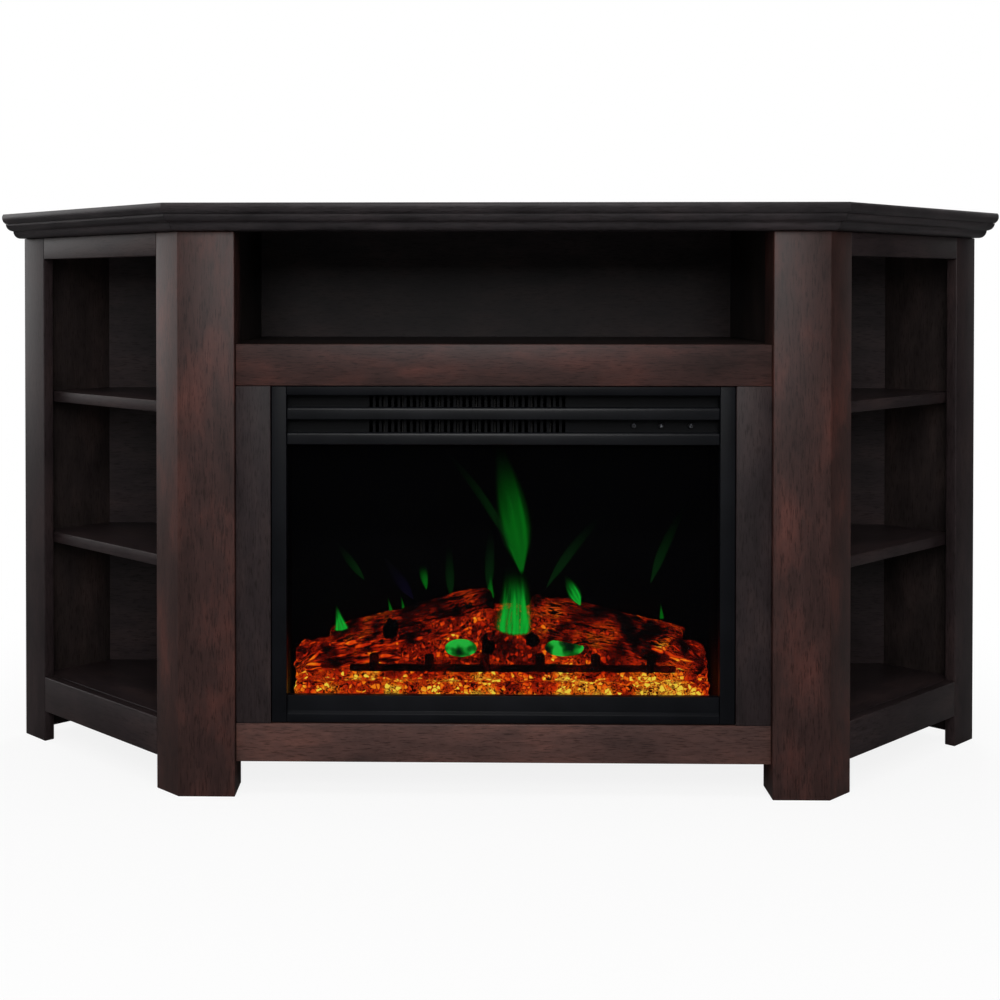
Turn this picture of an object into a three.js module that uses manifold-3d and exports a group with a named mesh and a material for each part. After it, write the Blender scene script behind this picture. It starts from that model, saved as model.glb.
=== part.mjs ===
// Corner fireplace: a five-sided wooden stand with an open niche, two three-tier side
// cabinets and an electric fire insert. Millimetres, +Z up, front towards -Y.
//
// Plan view, right half (the left half is its mirror image):
//
//            back panel ___________
//                      |           \  wall panel
//      centre bay      | side       \
//                      | cabinet    / side face, SIDE_ANGLE from the front
//   front post  _______|/post_____/
//
import * as THREE from 'three';
import { mergeVertices } from 'three/addons/utils/BufferGeometryUtils.js';
import Module from 'manifold-3d';

// ---------------------------------------------------------------- driving dimensions
// Joints
const FIT = 0.3;                   // gap between neighbouring pieces

// Cabinet plan
const FRONT_WIDTH = 827;           // across the front faces of the two posts
const SIDE_ANGLE = 45;             // side face against the front face, degrees
const SIDE_LENGTH = 384.5;         // side face, front corner to rear corner
const WALL_SIDE_LENGTH = 99.1;     // wall side, rear corner to the back panel
const TOP_OVERHANG = 35;           // top board past the posts, front and sides
const TOP_WALL_OVERHANG = 1.2;     // top board past the rear posts, towards the walls
const TOP_BACK_OVERHANG = 3;       // top board past the back panel

// Cabinet heights
const CARCASS_HEIGHT = 720.5;      // floor to the top of posts and rails
const MOULDING_HEIGHT = 20.5;      // crown moulding under the top board
const TOP_THICKNESS = 14;
const BOTTOM_RAIL_Z = 43;          // floor to the underside of the bottom rails
const BOTTOM_RAIL_HEIGHT = 49;
const HEADER_HEIGHT = 53;          // rail between the insert and the niche
const SIDE_TOP_RAIL_HEIGHT = 30.5;
const LOWER_SHELF_RISE = 206.5;    // bottom shelf top to lower shelf top
const UPPER_SHELF_RISE = 202.5;    // lower shelf top to upper shelf top
const PANEL_FLOOR_GAP = 12;        // wall and back panels stay off the floor

// Boards and posts
const BOARD = 15;
const BACK_THICKNESS = 5;
const POST_FACE = 72.5;            // front face of a front post
const POST_SIDE = 48;              // its angled face
const POST_DEPTH = 57;
const REAR_POST_WIDTH = 54;
const RAIL_RECESS = 8;             // front rails behind the post faces
const DIVIDER_SETBACK = 8;         // divider behind the inner edge of a front post
const SHELF_RECESS = 18;           // side shelf edge behind the side face
const WALL_PANEL_INSET = 12;       // wall panel inside the rear corner
const BACK_VENT_WIDTH = 60;
const BACK_VENT_HEIGHT = 10;
const BACK_VENT_PITCH = 26;
const BACK_VENT_ROWS = 6;

// Edge profile, measured outwards from the post faces
const TOP_EDGE_ROUND = 5;
// [inset as a share of the round, height as a share of the board], from the underside up
const TOP_EDGE_PROFILE = [[1, 0], [0.33, 0.22], [0, 0.5], [0, 0.8], [0.33, 1]];
const MIDDLE_BEAD_OUT = 29;
const LOWER_BEAD_OUT = 17;
const BEAD_FOOT_OUT = 6;
const MIDDLE_BEAD_HEIGHT = 10;
const BEAD_STEPS = 6;

// Insert: outer trim and front
const INSERT_WIDTH = 590;
const INSERT_HEIGHT = 430;
const INSERT_CLEARANCE = 1;        // insert to the wooden opening, each side
const TRIM_RECESS = 2;             // insert trim behind the wooden face
const TRIM_DEPTH = 14;
const SIDE_TRIM_WIDTH = 19;
const TOP_TRIM_HEIGHT = 11;
const BOTTOM_TRIM_HEIGHT = 11;
const SILL_HEIGHT = 23;            // stepped sill above the bottom trim
const SILL_STEP = 3;
const UPPER_LOUVRE_HEIGHT = 15.5;
const LOWER_LOUVRE_HEIGHT = 15.5;
const UPPER_SLOT_HEIGHT = 15.8;    // dark gap above the upper louvre
const LOWER_SLOT_HEIGHT = 16.6;    // dark gap between the louvres
const LOUVRE_BEVEL = 2;
const LOUVRE_DEPTH = 10;
const GLASS_THICKNESS = 4;
const GLASS_OVERLAP = 3;           // glass behind the trim, each side

// Insert: vent panel and buttons
const PANEL_SETBACK = 10;          // vent panel behind the trim
const VENT_PANEL_THICKNESS = 2;
const VENT_COUNT = 32;
const VENT_PITCH = 8;
const VENT_WIDTH = 4.4;
const VENT_CENTRE_X = -45;
const VENT_LAP = 2;               // vent slots reach this far behind a louvre
const CUT_MARGIN = 1;             // a cutting shape past the faces it cuts
const BUTTON_RADIUS = 4;
const BUTTON_LENGTH = 10;
const BUTTON_PROUD = 3;
const BUTTON_TRAVEL = 1;
const BUTTON_X = { power: 169, flame: 204, heat: 242 };
const BUTTON_RISE = 7.8;           // button axis above the lower louvre

// Insert: case
const SHEET = 2;
const CASE_INSET = 12;             // case inside the trim's outer edge, each side
const CASE_TOP_INSET = 5;
const CASE_DEPTH = 190;

// Insert: fire
const BED_FRONT_GAP = 8;           // ember bed behind the glass
const TRAY_DEPTH = 26;
const TRAY_HEIGHT = 43;            // front edge of the ember bed over the case floor
const MOUND_DEPTH = 56;
const MOUND_HEIGHT = 131;          // crown of the mound over the case floor
const MOUND_SIDE_HEIGHT = 79;
const BED_SIDE_GAP = 13;           // ember bed inside the case walls
const BED_SHELL = 6;
const LOG_RADIUS = 18;
const LOG_SIDES = 9;
const LOG_SEAT = 0.375;            // ember bed round a log: FIT at its pressed-in sides
const GRATE_WIDTH = 424;
const GRATE_CENTRE_X = 14;
const GRATE_BAR = 9;
const GRATE_STAND = 12;            // bar over the tray
const GRATE_STUB_RISE = 14;
const GRATE_STUBS = 6;
const GRATE_STUB_PITCH = 72;
const LED_BOARD = { depth: 60, thickness: 1.6 };

// Insert: flame effect
const SCREEN_THICKNESS = 3;
const SCREEN_GAP = 6;              // flame screen behind the mound
const SPINDLE_FIN_RADIUS = 22;
const SPINDLE_ROD_RADIUS = 4;
const SPINDLE_FIN_WIDTH = 1.6;
const SPINDLE_FINS = 6;
const SPINDLE_RISE = 78;           // spindle axis over the case floor
const SPINDLE_CLEARANCE = 6;
const MOTOR_RADIUS = 20;
const MOTOR_LENGTH = 24;

// Insert: heater
const PLENUM_DROP = 6;             // plenum floor below the top of the glass opening
const BLOWER_RADIUS = 17;
const BLOWER_BLADES = 12;
const BLOWER_BLADE_DEPTH = 5;
const BLOWER_BLADE_WIDTH = 1.6;
const BLOWER_LENGTH = 216;
const BLOWER_SHAFT_RADIUS = 3;
const BLOWER_MOTOR_LENGTH = 34;
const HOUSING_WALL = 2;
const HOUSING_CLEARANCE = 3;
const HEATER_DEPTH = 12;
const HEATER_GAP = 5;
const HEATER_FINS = 18;
const HEATER_FIN_WIDTH = 1.6;
const CIRCUIT_BOARD = { width: 108, height: 34, thickness: 1.6 };
const INLET = { width: 28, height: 22, depth: 10, bore: 4, fromEdge: 60, rise: 40 };

// ---------------------------------------------------------------- derived levels
const BOTTOM_RAIL_TOP = BOTTOM_RAIL_Z + BOTTOM_RAIL_HEIGHT;
const LOWER_SHELF_TOP = BOTTOM_RAIL_TOP + LOWER_SHELF_RISE;
const UPPER_SHELF_TOP = LOWER_SHELF_TOP + UPPER_SHELF_RISE;
const HEADER_Z = BOTTOM_RAIL_TOP + INSERT_HEIGHT + 2 * INSERT_CLEARANCE;
const HEADER_TOP = HEADER_Z + HEADER_HEIGHT;
const MOULDING_TOP = CARCASS_HEIGHT + MOULDING_HEIGHT;
const TOP_SURFACE = MOULDING_TOP + TOP_THICKNESS;

const POST_OUTER_X = FRONT_WIDTH / 2;
const POST_INNER_X = POST_OUTER_X - POST_FACE;
const DIVIDER_X = POST_INNER_X + DIVIDER_SETBACK;
const angle = THREE.MathUtils.degToRad(SIDE_ANGLE);
const REAR_CORNER_Y = SIDE_LENGTH * Math.sin(angle);
const BACK_Y = Math.round(REAR_CORNER_Y + WALL_SIDE_LENGTH * Math.cos(angle));
const TOP_BACK_Y = BACK_Y + BACK_THICKNESS + TOP_BACK_OVERHANG;

const INSERT_X = INSERT_WIDTH / 2;
const INSERT_Z = BOTTOM_RAIL_TOP + INSERT_CLEARANCE;
const INSERT_TOP = INSERT_Z + INSERT_HEIGHT;
const TRIM_Y = RAIL_RECESS + TRIM_RECESS;
const TRIM_BACK_Y = TRIM_Y + TRIM_DEPTH;
const OPENING_X = INSERT_X - SIDE_TRIM_WIDTH;
const SILL_TOP = INSERT_Z + BOTTOM_TRIM_HEIGHT + SILL_HEIGHT;
const UPPER_SLOT_TOP = INSERT_TOP - TOP_TRIM_HEIGHT;
const UPPER_LOUVRE_TOP = UPPER_SLOT_TOP - UPPER_SLOT_HEIGHT;
const LOWER_SLOT_TOP = UPPER_LOUVRE_TOP - UPPER_LOUVRE_HEIGHT;
const LOWER_LOUVRE_TOP = LOWER_SLOT_TOP - LOWER_SLOT_HEIGHT;
const GLASS_TOP = LOWER_LOUVRE_TOP - LOWER_LOUVRE_HEIGHT;

const CASE_X = INSERT_X - CASE_INSET;
const CASE_INNER_X = CASE_X - SHEET;
const CASE_Y = TRIM_BACK_Y + FIT;
const CASE_BACK_Y = CASE_Y + CASE_DEPTH;
const CASE_Z = BOTTOM_RAIL_TOP + FIT;
const CASE_FLOOR = CASE_Z + SHEET;
const CASE_TOP = INSERT_TOP - CASE_TOP_INSET;
const PLENUM_TOP = GLASS_TOP + PLENUM_DROP + SHEET;
const PANEL_Y = TRIM_BACK_Y + PANEL_SETBACK;
const BUTTON_Z = LOWER_LOUVRE_TOP + BUTTON_RISE;
const BED_HALF_WIDTH = CASE_INNER_X - BED_SIDE_GAP;

// ---------------------------------------------------------------- finishes and groups
const FINISHES = {
  veneer: { color: '#3a231e', roughness: 0.45, metalness: 0 },
  darkVeneer: { color: '#241a19', roughness: 0.5, metalness: 0 },
  blackSteel: { color: '#17171a', roughness: 0.45, metalness: 0.6 },
  glass: { color: '#0a0a0c', roughness: 0.05, metalness: 0 },
  blackPlastic: { color: '#141416', roughness: 0.5, metalness: 0 },
  ember: { color: '#c8541a', roughness: 0.8, metalness: 0 },
  log: { color: '#2e2019', roughness: 0.95, metalness: 0 },
  castIron: { color: '#1a1716', roughness: 0.7, metalness: 0.5 },
  aluminium: { color: '#b9bcc0', roughness: 0.35, metalness: 1 },
  circuit: { color: '#1f4a33', roughness: 0.6, metalness: 0 },
  ceramic: { color: '#8d8a84', roughness: 0.8, metalness: 0 },
};

const wasm = await Module();
wasm.setup();

const object = new THREE.Group();
const cabinet = new THREE.Group();
const insert = new THREE.Group();
object.add(cabinet, insert);

function piece(name, finish, geometry, parent) {
  const mesh = new THREE.Mesh(geometry, new THREE.MeshStandardMaterial(FINISHES[finish]));
  mesh.name = name;
  parent.add(mesh);
  return mesh;
}

// ---------------------------------------------------------------- shape helpers
// A board between two opposite corners.
function boardGeometry([x0, x1], [y0, y1], [z0, z1]) {
  const geometry = new THREE.BoxGeometry(x1 - x0, y1 - y0, z1 - z0);
  return geometry.translate((x0 + x1) / 2, (y0 + y1) / 2, (z0 + z1) / 2);
}

// A plan outline raised from z0 to z1.
function slabGeometry(outline, [z0, z1]) {
  const shape = new THREE.Shape(outline.map(([x, y]) => new THREE.Vector2(x, y)));
  const geometry = new THREE.ExtrudeGeometry(shape, { depth: z1 - z0, bevelEnabled: false });
  return geometry.translate(0, 0, z0);
}

// A cross-section of [y, z] points run along X.
function barGeometry(section, [x0, x1]) {
  const shape = new THREE.Shape(section.map(([y, z]) => new THREE.Vector2(y, z)));
  const geometry = new THREE.ExtrudeGeometry(shape, { depth: x1 - x0, bevelEnabled: false });
  const along = new THREE.Matrix4().makeBasis(
    new THREE.Vector3(0, 1, 0), new THREE.Vector3(0, 0, 1), new THREE.Vector3(1, 0, 0));
  return geometry.applyMatrix4(along).translate(x0, 0, 0);
}

// A front view of [x, z] points run back along Y.
function frontGeometry(view, [y0, y1]) {
  const shape = new THREE.Shape(view.map(([x, z]) => new THREE.Vector2(x, z)));
  const geometry = new THREE.ExtrudeGeometry(shape, { depth: y1 - y0, bevelEnabled: false });
  return geometry.rotateX(Math.PI / 2).translate(0, y1, 0);
}

// A round bar along X, centred on (y, z).
function rodGeometry(radius, [x0, x1], y, z, sides = 24) {
  const geometry = new THREE.CylinderGeometry(radius, radius, x1 - x0, sides);
  return geometry.rotateZ(Math.PI / 2).translate((x0 + x1) / 2, y, z);
}

// A round peg along Y, centred on (x, z).
function pegGeometry(radius, [y0, y1], x, z, sides = 24) {
  const geometry = new THREE.CylinderGeometry(radius, radius, y1 - y0, sides);
  return geometry.translate(x, (y0 + y1) / 2, z);
}

function solid(geometry) {
  const bare = geometry.clone();
  bare.deleteAttribute('normal');
  bare.deleteAttribute('uv');
  const merged = mergeVertices(bare, 1e-4);
  return new wasm.Manifold(new wasm.Mesh({
    numProp: 3,
    vertProperties: merged.attributes.position.array,
    triVerts: Uint32Array.from(merged.index.array),
  }));
}

function toGeometry(manifold) {
  const mesh = manifold.getMesh();
  const geometry = new THREE.BufferGeometry();
  geometry.setAttribute('position', new THREE.BufferAttribute(mesh.vertProperties, 3));
  geometry.setIndex(new THREE.BufferAttribute(mesh.triVerts, 1));
  geometry.computeVertexNormals();
  return geometry;
}

function cut(geometry, tools) {
  return toGeometry(tools.reduce((body, tool) => body.subtract(solid(tool)), solid(geometry)));
}

function join(geometries) {
  const [first, ...others] = geometries.map(solid);
  return toGeometry(others.reduce((body, other) => body.add(other), first));
}

// ---------------------------------------------------------------- plan lines
// A line is { n, d }: every point p on it has n . p = d. All lines are for the right half.
const frontCorner = new THREE.Vector2(POST_OUTER_X, 0);
const sideways = new THREE.Vector2(Math.cos(angle), Math.sin(angle));
const inwards = new THREE.Vector2(-Math.sin(angle), Math.cos(angle));

const acrossAt = (y) => ({ n: new THREE.Vector2(0, 1), d: y });
const alongAt = (x) => ({ n: new THREE.Vector2(1, 0), d: x });
const sideFace = (inset) => ({ n: inwards, d: inwards.dot(frontCorner) + inset });
const fromPost = (run) => ({ n: sideways, d: sideways.dot(frontCorner) + run });
const wallSide = (outset) => fromPost(SIDE_LENGTH + outset);

function meet(a, b) {
  const det = a.n.x * b.n.y - a.n.y * b.n.x;
  return [(a.d * b.n.y - b.d * a.n.y) / det, (b.d * a.n.x - a.d * b.n.x) / det];
}

const mirrored = (outline, hand) => outline.map(([x, y]) => [hand * x, y]);
const HANDS = { left: -1, right: 1 };

// The frame of one side face: X runs back along the face, its origin is the front corner.
// Inwards is +Y on the right and -Y on the left.
function sideFrame(hand) {
  const frame = new THREE.Group();
  frame.position.set(hand * POST_OUTER_X, 0, 0);
  frame.rotation.z = hand > 0 ? angle : Math.PI - angle;
  cabinet.add(frame);
  return frame;
}

const sideBoard = (hand, run, [v0, v1], height) =>
  boardGeometry(run, hand > 0 ? [v0, v1] : [-v1, -v0], height);

// ---------------------------------------------------------------- top and moulding
function topOutline(out) {
  const right = [
    meet(acrossAt(-out), sideFace(-out)),
    meet(sideFace(-out), wallSide(TOP_WALL_OVERHANG)),
    meet(wallSide(TOP_WALL_OVERHANG), acrossAt(TOP_BACK_Y)),
  ];
  return [...right, ...mirrored(right, -1).reverse()];
}

// Stacks equal outlines at rising heights into one closed solid with flat ends.
function stackGeometry(levels) {
  const count = levels[0].outline.length;
  const points = levels.flatMap(({ outline, z }) => outline.flatMap(([x, y]) => [x, y, z]));
  const faces = [];
  for (let level = 0; level < levels.length - 1; level += 1) {
    for (let i = 0; i < count; i += 1) {
      const a = level * count + i;
      const b = level * count + ((i + 1) % count);
      faces.push(a, b, b + count, a, b + count, a + count);
    }
  }
  const last = (levels.length - 1) * count;
  for (let i = 1; i < count - 1; i += 1) {
    faces.push(0, i + 1, i, last, last + i, last + i + 1);
  }
  const geometry = new THREE.BufferGeometry();
  geometry.setAttribute('position', new THREE.Float32BufferAttribute(points, 3));
  geometry.setIndex(faces);
  geometry.computeVertexNormals();
  return geometry;
}

function makeTop() {
  const foot = MOULDING_TOP + FIT;
  const rise = TOP_SURFACE - foot;
  const stack = TOP_EDGE_PROFILE.map(([inset, height]) => (
    { outline: topOutline(TOP_OVERHANG - inset * TOP_EDGE_ROUND), z: foot + height * rise }));
  piece('top_board', 'darkVeneer', stackGeometry(stack), cabinet);
}

// Two quarter-round beads, one over the other, as [outwards, z] points.
function mouldingSection() {
  const base = CARCASS_HEIGHT + FIT;
  const step = MOULDING_TOP - MIDDLE_BEAD_HEIGHT;
  const beads = [
    { from: LOWER_BEAD_OUT, to: BEAD_FOOT_OUT, top: step, foot: base },
    { from: MIDDLE_BEAD_OUT, to: LOWER_BEAD_OUT, top: MOULDING_TOP, foot: step },
  ];
  const points = [[-BOARD, base]];
  for (const { from, to, top, foot } of beads) {
    for (let i = 0; i <= BEAD_STEPS; i += 1) {
      const turn = (Math.PI / 2) * (i / BEAD_STEPS);
      points.push([to + (from - to) * Math.sin(turn), top - (top - foot) * Math.cos(turn)]);
    }
  }
  points.push([-BOARD, MOULDING_TOP]);
  return points;
}

// A moulding strip along +X, with its outwards side at -Y on the right and +Y on the left.
// Each end is [x, slope]: the slope is how far it moves along X per millimetre outwards.
function stripGeometry(section, hand, [startX, startSlope], [endX, endSlope]) {
  const geometry = barGeometry(section.map(([out, z]) => [-hand * out, z]), [0, 1]);
  const position = geometry.attributes.position;
  for (let i = 0; i < position.count; i += 1) {
    const out = -hand * position.getY(i);
    const atEnd = position.getX(i) > 0.5;
    position.setX(i, atEnd ? endX + endSlope * out : startX + startSlope * out);
  }
  geometry.computeVertexNormals();
  return geometry;
}

function makeMoulding() {
  const section = mouldingSection();
  const mitre = Math.tan(angle / 2);
  const half = POST_OUTER_X - FIT;
  const front = stripGeometry(section, HANDS.right, [-half, -mitre], [half, mitre]);
  piece('crown_moulding_front', 'darkVeneer', front, cabinet);
  for (const [side, hand] of Object.entries(HANDS)) {
    const end = SIDE_LENGTH + TOP_WALL_OVERHANG;
    const strip = stripGeometry(section, hand, [FIT, -mitre], [end, 0]);
    piece(`crown_moulding_${side}`, 'darkVeneer', strip, sideFrame(hand));
  }
}

// ---------------------------------------------------------------- posts and rails
function makePosts() {
  const right = [
    [POST_INNER_X, 0],
    [POST_OUTER_X, 0],
    meet(sideFace(0), fromPost(POST_SIDE)),
    meet(fromPost(POST_SIDE), acrossAt(POST_DEPTH)),
    [POST_INNER_X, POST_DEPTH],
  ];
  for (const [side, hand] of Object.entries(HANDS)) {
    const post = slabGeometry(mirrored(right, hand), [0, CARCASS_HEIGHT]);
    piece(`front_post_${side}`, 'veneer', post, cabinet);

    const run = [SIDE_LENGTH - REAR_POST_WIDTH, SIDE_LENGTH];
    const rear = sideBoard(hand, run, [0, BOARD], [0, CARCASS_HEIGHT]);
    piece(`rear_post_${side}`, 'veneer', rear, sideFrame(hand));
  }
}

function makeRails() {
  const width = [-POST_INNER_X + FIT, POST_INNER_X - FIT];
  const depth = [RAIL_RECESS, RAIL_RECESS + BOARD];
  const bottom = boardGeometry(width, depth, [BOTTOM_RAIL_Z, BOTTOM_RAIL_TOP]);
  piece('front_bottom_rail', 'veneer', bottom, cabinet);
  const header = boardGeometry(width, depth, [HEADER_Z, HEADER_TOP]);
  piece('header_rail', 'veneer', header, cabinet);

  const stripHeight = [BOTTOM_RAIL_TOP + FIT, HEADER_Z - FIT];
  const stripStart = INSERT_X + INSERT_CLEARANCE;
  const sideRun = [POST_SIDE + FIT, SIDE_LENGTH - REAR_POST_WIDTH - FIT];
  for (const [side, hand] of Object.entries(HANDS)) {
    const inner = hand * stripStart;
    const outer = hand * (POST_INNER_X - FIT);
    const across = [Math.min(inner, outer), Math.max(inner, outer)];
    piece(`filler_strip_${side}`, 'veneer', boardGeometry(across, depth, stripHeight), cabinet);

    const frame = sideFrame(hand);
    const low = sideBoard(hand, sideRun, [0, BOARD], [BOTTOM_RAIL_Z, BOTTOM_RAIL_TOP]);
    piece(`side_bottom_rail_${side}`, 'veneer', low, frame);
    const highSpan = [CARCASS_HEIGHT - SIDE_TOP_RAIL_HEIGHT, CARCASS_HEIGHT];
    const high = sideBoard(hand, sideRun, [0, BOARD], highSpan);
    piece(`side_top_rail_${side}`, 'veneer', high, frame);
  }
}

// ---------------------------------------------------------------- panels and shelves
function makePanels() {
  const wallOuter = wallSide(-WALL_PANEL_INSET);
  const wallInner = wallSide(-WALL_PANEL_INSET - BOARD);
  const wallRight = [
    meet(sideFace(BOARD + FIT), wallInner),
    meet(sideFace(BOARD + FIT), wallOuter),
    meet(acrossAt(BACK_Y - FIT), wallOuter),
    meet(acrossAt(BACK_Y - FIT), wallInner),
  ];
  const dividerRight = [
    [DIVIDER_X, POST_DEPTH + FIT],
    [DIVIDER_X + BOARD, POST_DEPTH + FIT],
    [DIVIDER_X + BOARD, BACK_Y - FIT],
    [DIVIDER_X, BACK_Y - FIT],
  ];
  for (const [side, hand] of Object.entries(HANDS)) {
    const wall = slabGeometry(mirrored(wallRight, hand), [PANEL_FLOOR_GAP, MOULDING_TOP]);
    piece(`wall_panel_${side}`, 'darkVeneer', wall, cabinet);
    const divider = slabGeometry(mirrored(dividerRight, hand), [BOTTOM_RAIL_Z, MOULDING_TOP]);
    piece(`divider_${side}`, 'darkVeneer', divider, cabinet);
  }

  const backRight = [
    meet(acrossAt(BACK_Y), wallOuter),
    meet(acrossAt(BACK_Y + BACK_THICKNESS), wallOuter),
  ];
  const backOutline = [...backRight, ...mirrored(backRight, -1).reverse()];
  const back = slabGeometry(backOutline, [PANEL_FLOOR_GAP, MOULDING_TOP]);
  const ventFoot = (BOTTOM_RAIL_TOP + HEADER_Z - BACK_VENT_PITCH * (BACK_VENT_ROWS - 1)) / 2;
  const vents = [];
  for (let row = 0; row < BACK_VENT_ROWS; row += 1) {
    for (const column of [-1, 0, 1]) {
      const x = column * 1.5 * BACK_VENT_WIDTH;
      const z = ventFoot + row * BACK_VENT_PITCH;
      vents.push(boardGeometry(
        [x - BACK_VENT_WIDTH / 2, x + BACK_VENT_WIDTH / 2],
        [BACK_Y - CUT_MARGIN, BACK_Y + BACK_THICKNESS + CUT_MARGIN],
        [z - BACK_VENT_HEIGHT / 2, z + BACK_VENT_HEIGHT / 2]));
    }
  }
  piece('back_panel', 'darkVeneer', cut(back, vents), cabinet);
}

function shelfOutline(frontInset) {
  return [
    meet(sideFace(frontInset), fromPost(POST_SIDE + FIT)),
    meet(sideFace(frontInset), wallSide(-WALL_PANEL_INSET - BOARD - FIT)),
    meet(acrossAt(BACK_Y - FIT), wallSide(-WALL_PANEL_INSET - BOARD - FIT)),
    meet(acrossAt(BACK_Y - FIT), alongAt(DIVIDER_X + BOARD + FIT)),
    meet(acrossAt(POST_DEPTH + FIT), alongAt(DIVIDER_X + BOARD + FIT)),
    meet(acrossAt(POST_DEPTH + FIT), fromPost(POST_SIDE + FIT)),
  ];
}

function makeShelves() {
  const tiers = {
    bottom: { top: BOTTOM_RAIL_TOP, inset: BOARD + FIT },
    lower: { top: LOWER_SHELF_TOP, inset: SHELF_RECESS },
    upper: { top: UPPER_SHELF_TOP, inset: SHELF_RECESS },
  };
  for (const [tier, { top, inset }] of Object.entries(tiers)) {
    for (const [side, hand] of Object.entries(HANDS)) {
      const shelf = slabGeometry(mirrored(shelfOutline(inset), hand), [top - BOARD, top]);
      piece(`side_shelf_${tier}_${side}`, 'darkVeneer', shelf, cabinet);
    }
  }
  const between = [-DIVIDER_X + FIT, DIVIDER_X - FIT];
  const behindRail = RAIL_RECESS + BOARD + FIT;
  const narrow = [-POST_INNER_X + FIT, POST_INNER_X - FIT];
  const boards = { niche_shelf: HEADER_TOP, insert_platform: BOTTOM_RAIL_TOP };
  for (const [name, top] of Object.entries(boards)) {
    const height = [top - BOARD, top];
    const front = boardGeometry(narrow, [behindRail, POST_DEPTH + 2 * FIT], height);
    const rear = boardGeometry(between, [POST_DEPTH + FIT, BACK_Y - FIT], height);
    piece(name, 'darkVeneer', join([front, rear]), cabinet);
  }
}

// ---------------------------------------------------------------- insert front
function makeTrim() {
  const depth = [TRIM_Y, TRIM_BACK_Y];
  const height = [INSERT_Z, INSERT_TOP];
  const left = boardGeometry([-INSERT_X, -OPENING_X], depth, height);
  const right = boardGeometry([OPENING_X, INSERT_X], depth, height);
  piece('insert_trim_left', 'blackSteel', left, insert);
  piece('insert_trim_right', 'blackSteel', right, insert);

  const across = [-OPENING_X + FIT, OPENING_X - FIT];
  const top = boardGeometry(across, depth, [UPPER_SLOT_TOP, INSERT_TOP]);
  piece('insert_trim_top', 'blackSteel', top, insert);
  const sillFoot = INSERT_Z + BOTTOM_TRIM_HEIGHT;
  const sill = [
    [TRIM_Y, INSERT_Z],
    [TRIM_BACK_Y, INSERT_Z],
    [TRIM_BACK_Y, SILL_TOP],
    [TRIM_Y + SILL_STEP, SILL_TOP],
    [TRIM_Y + SILL_STEP, sillFoot + SILL_STEP],
    [TRIM_Y, sillFoot],
  ];
  piece('insert_sill', 'blackSteel', barGeometry(sill, across), insert);
}

function louvreSection(top, height) {
  const front = TRIM_Y + TRIM_RECESS;
  return [
    [front, top - height],
    [front + LOUVRE_DEPTH, top - height],
    [front + LOUVRE_DEPTH, top],
    [front + LOUVRE_BEVEL, top],
    [front, top - LOUVRE_BEVEL],
  ];
}

function makeLouvres() {
  const across = [-OPENING_X + FIT, OPENING_X - FIT];
  const upper = louvreSection(UPPER_LOUVRE_TOP, UPPER_LOUVRE_HEIGHT);
  const lower = louvreSection(LOWER_LOUVRE_TOP, LOWER_LOUVRE_HEIGHT);
  piece('louvre_upper', 'blackSteel', barGeometry(upper, across), insert);
  piece('louvre_lower', 'blackSteel', barGeometry(lower, across), insert);
}

function makeVentPanel() {
  const panelDepth = [PANEL_Y, PANEL_Y + VENT_PANEL_THICKNESS];
  const inner = CASE_INNER_X - FIT;
  const foot = PLENUM_TOP + FIT;
  const panel = boardGeometry([-inner, inner], panelDepth, [foot, CASE_TOP - SHEET - FIT]);
  const through = [PANEL_Y - CUT_MARGIN, PANEL_Y + VENT_PANEL_THICKNESS + CUT_MARGIN];
  const rows = [
    [LOWER_LOUVRE_TOP - VENT_LAP, LOWER_SLOT_TOP],
    [UPPER_LOUVRE_TOP - VENT_LAP, UPPER_SLOT_TOP - VENT_LAP],
  ];
  const tools = [];
  for (const row of rows) {
    for (let i = 0; i < VENT_COUNT; i += 1) {
      const x = VENT_CENTRE_X + (i - (VENT_COUNT - 1) / 2) * VENT_PITCH;
      tools.push(boardGeometry([x - VENT_WIDTH / 2, x + VENT_WIDTH / 2], through, row));
    }
  }
  for (const x of Object.values(BUTTON_X)) {
    tools.push(pegGeometry(BUTTON_RADIUS + FIT, through, x, BUTTON_Z));
  }
  piece('vent_panel', 'blackSteel', cut(panel, tools), insert);

  for (const [name, x] of Object.entries(BUTTON_X)) {
    const front = PANEL_Y - BUTTON_PROUD;
    const button = pegGeometry(BUTTON_RADIUS, [front, front + BUTTON_LENGTH], x, BUTTON_Z);
    piece(`${name}_button`, 'blackPlastic', button, insert);
  }
}

function makeGlass() {
  const across = [-OPENING_X - GLASS_OVERLAP, OPENING_X + GLASS_OVERLAP];
  const depth = [CASE_Y, CASE_Y + GLASS_THICKNESS];
  const top = GLASS_TOP + PLENUM_DROP - FIT;
  const glass = boardGeometry(across, depth, [SILL_TOP - GLASS_OVERLAP, top]);
  piece('glass_pane', 'glass', glass, insert);
}

// ---------------------------------------------------------------- insert case
const SPINDLE_Z = CASE_FLOOR + SPINDLE_RISE;
const MOUND_Y = CASE_Y + GLASS_THICKNESS + BED_FRONT_GAP + TRAY_DEPTH;
const SCREEN_Y = MOUND_Y + MOUND_DEPTH + SCREEN_GAP;
const SPINDLE_Y = SCREEN_Y + SCREEN_THICKNESS + SPINDLE_CLEARANCE + SPINDLE_FIN_RADIUS;

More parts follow.
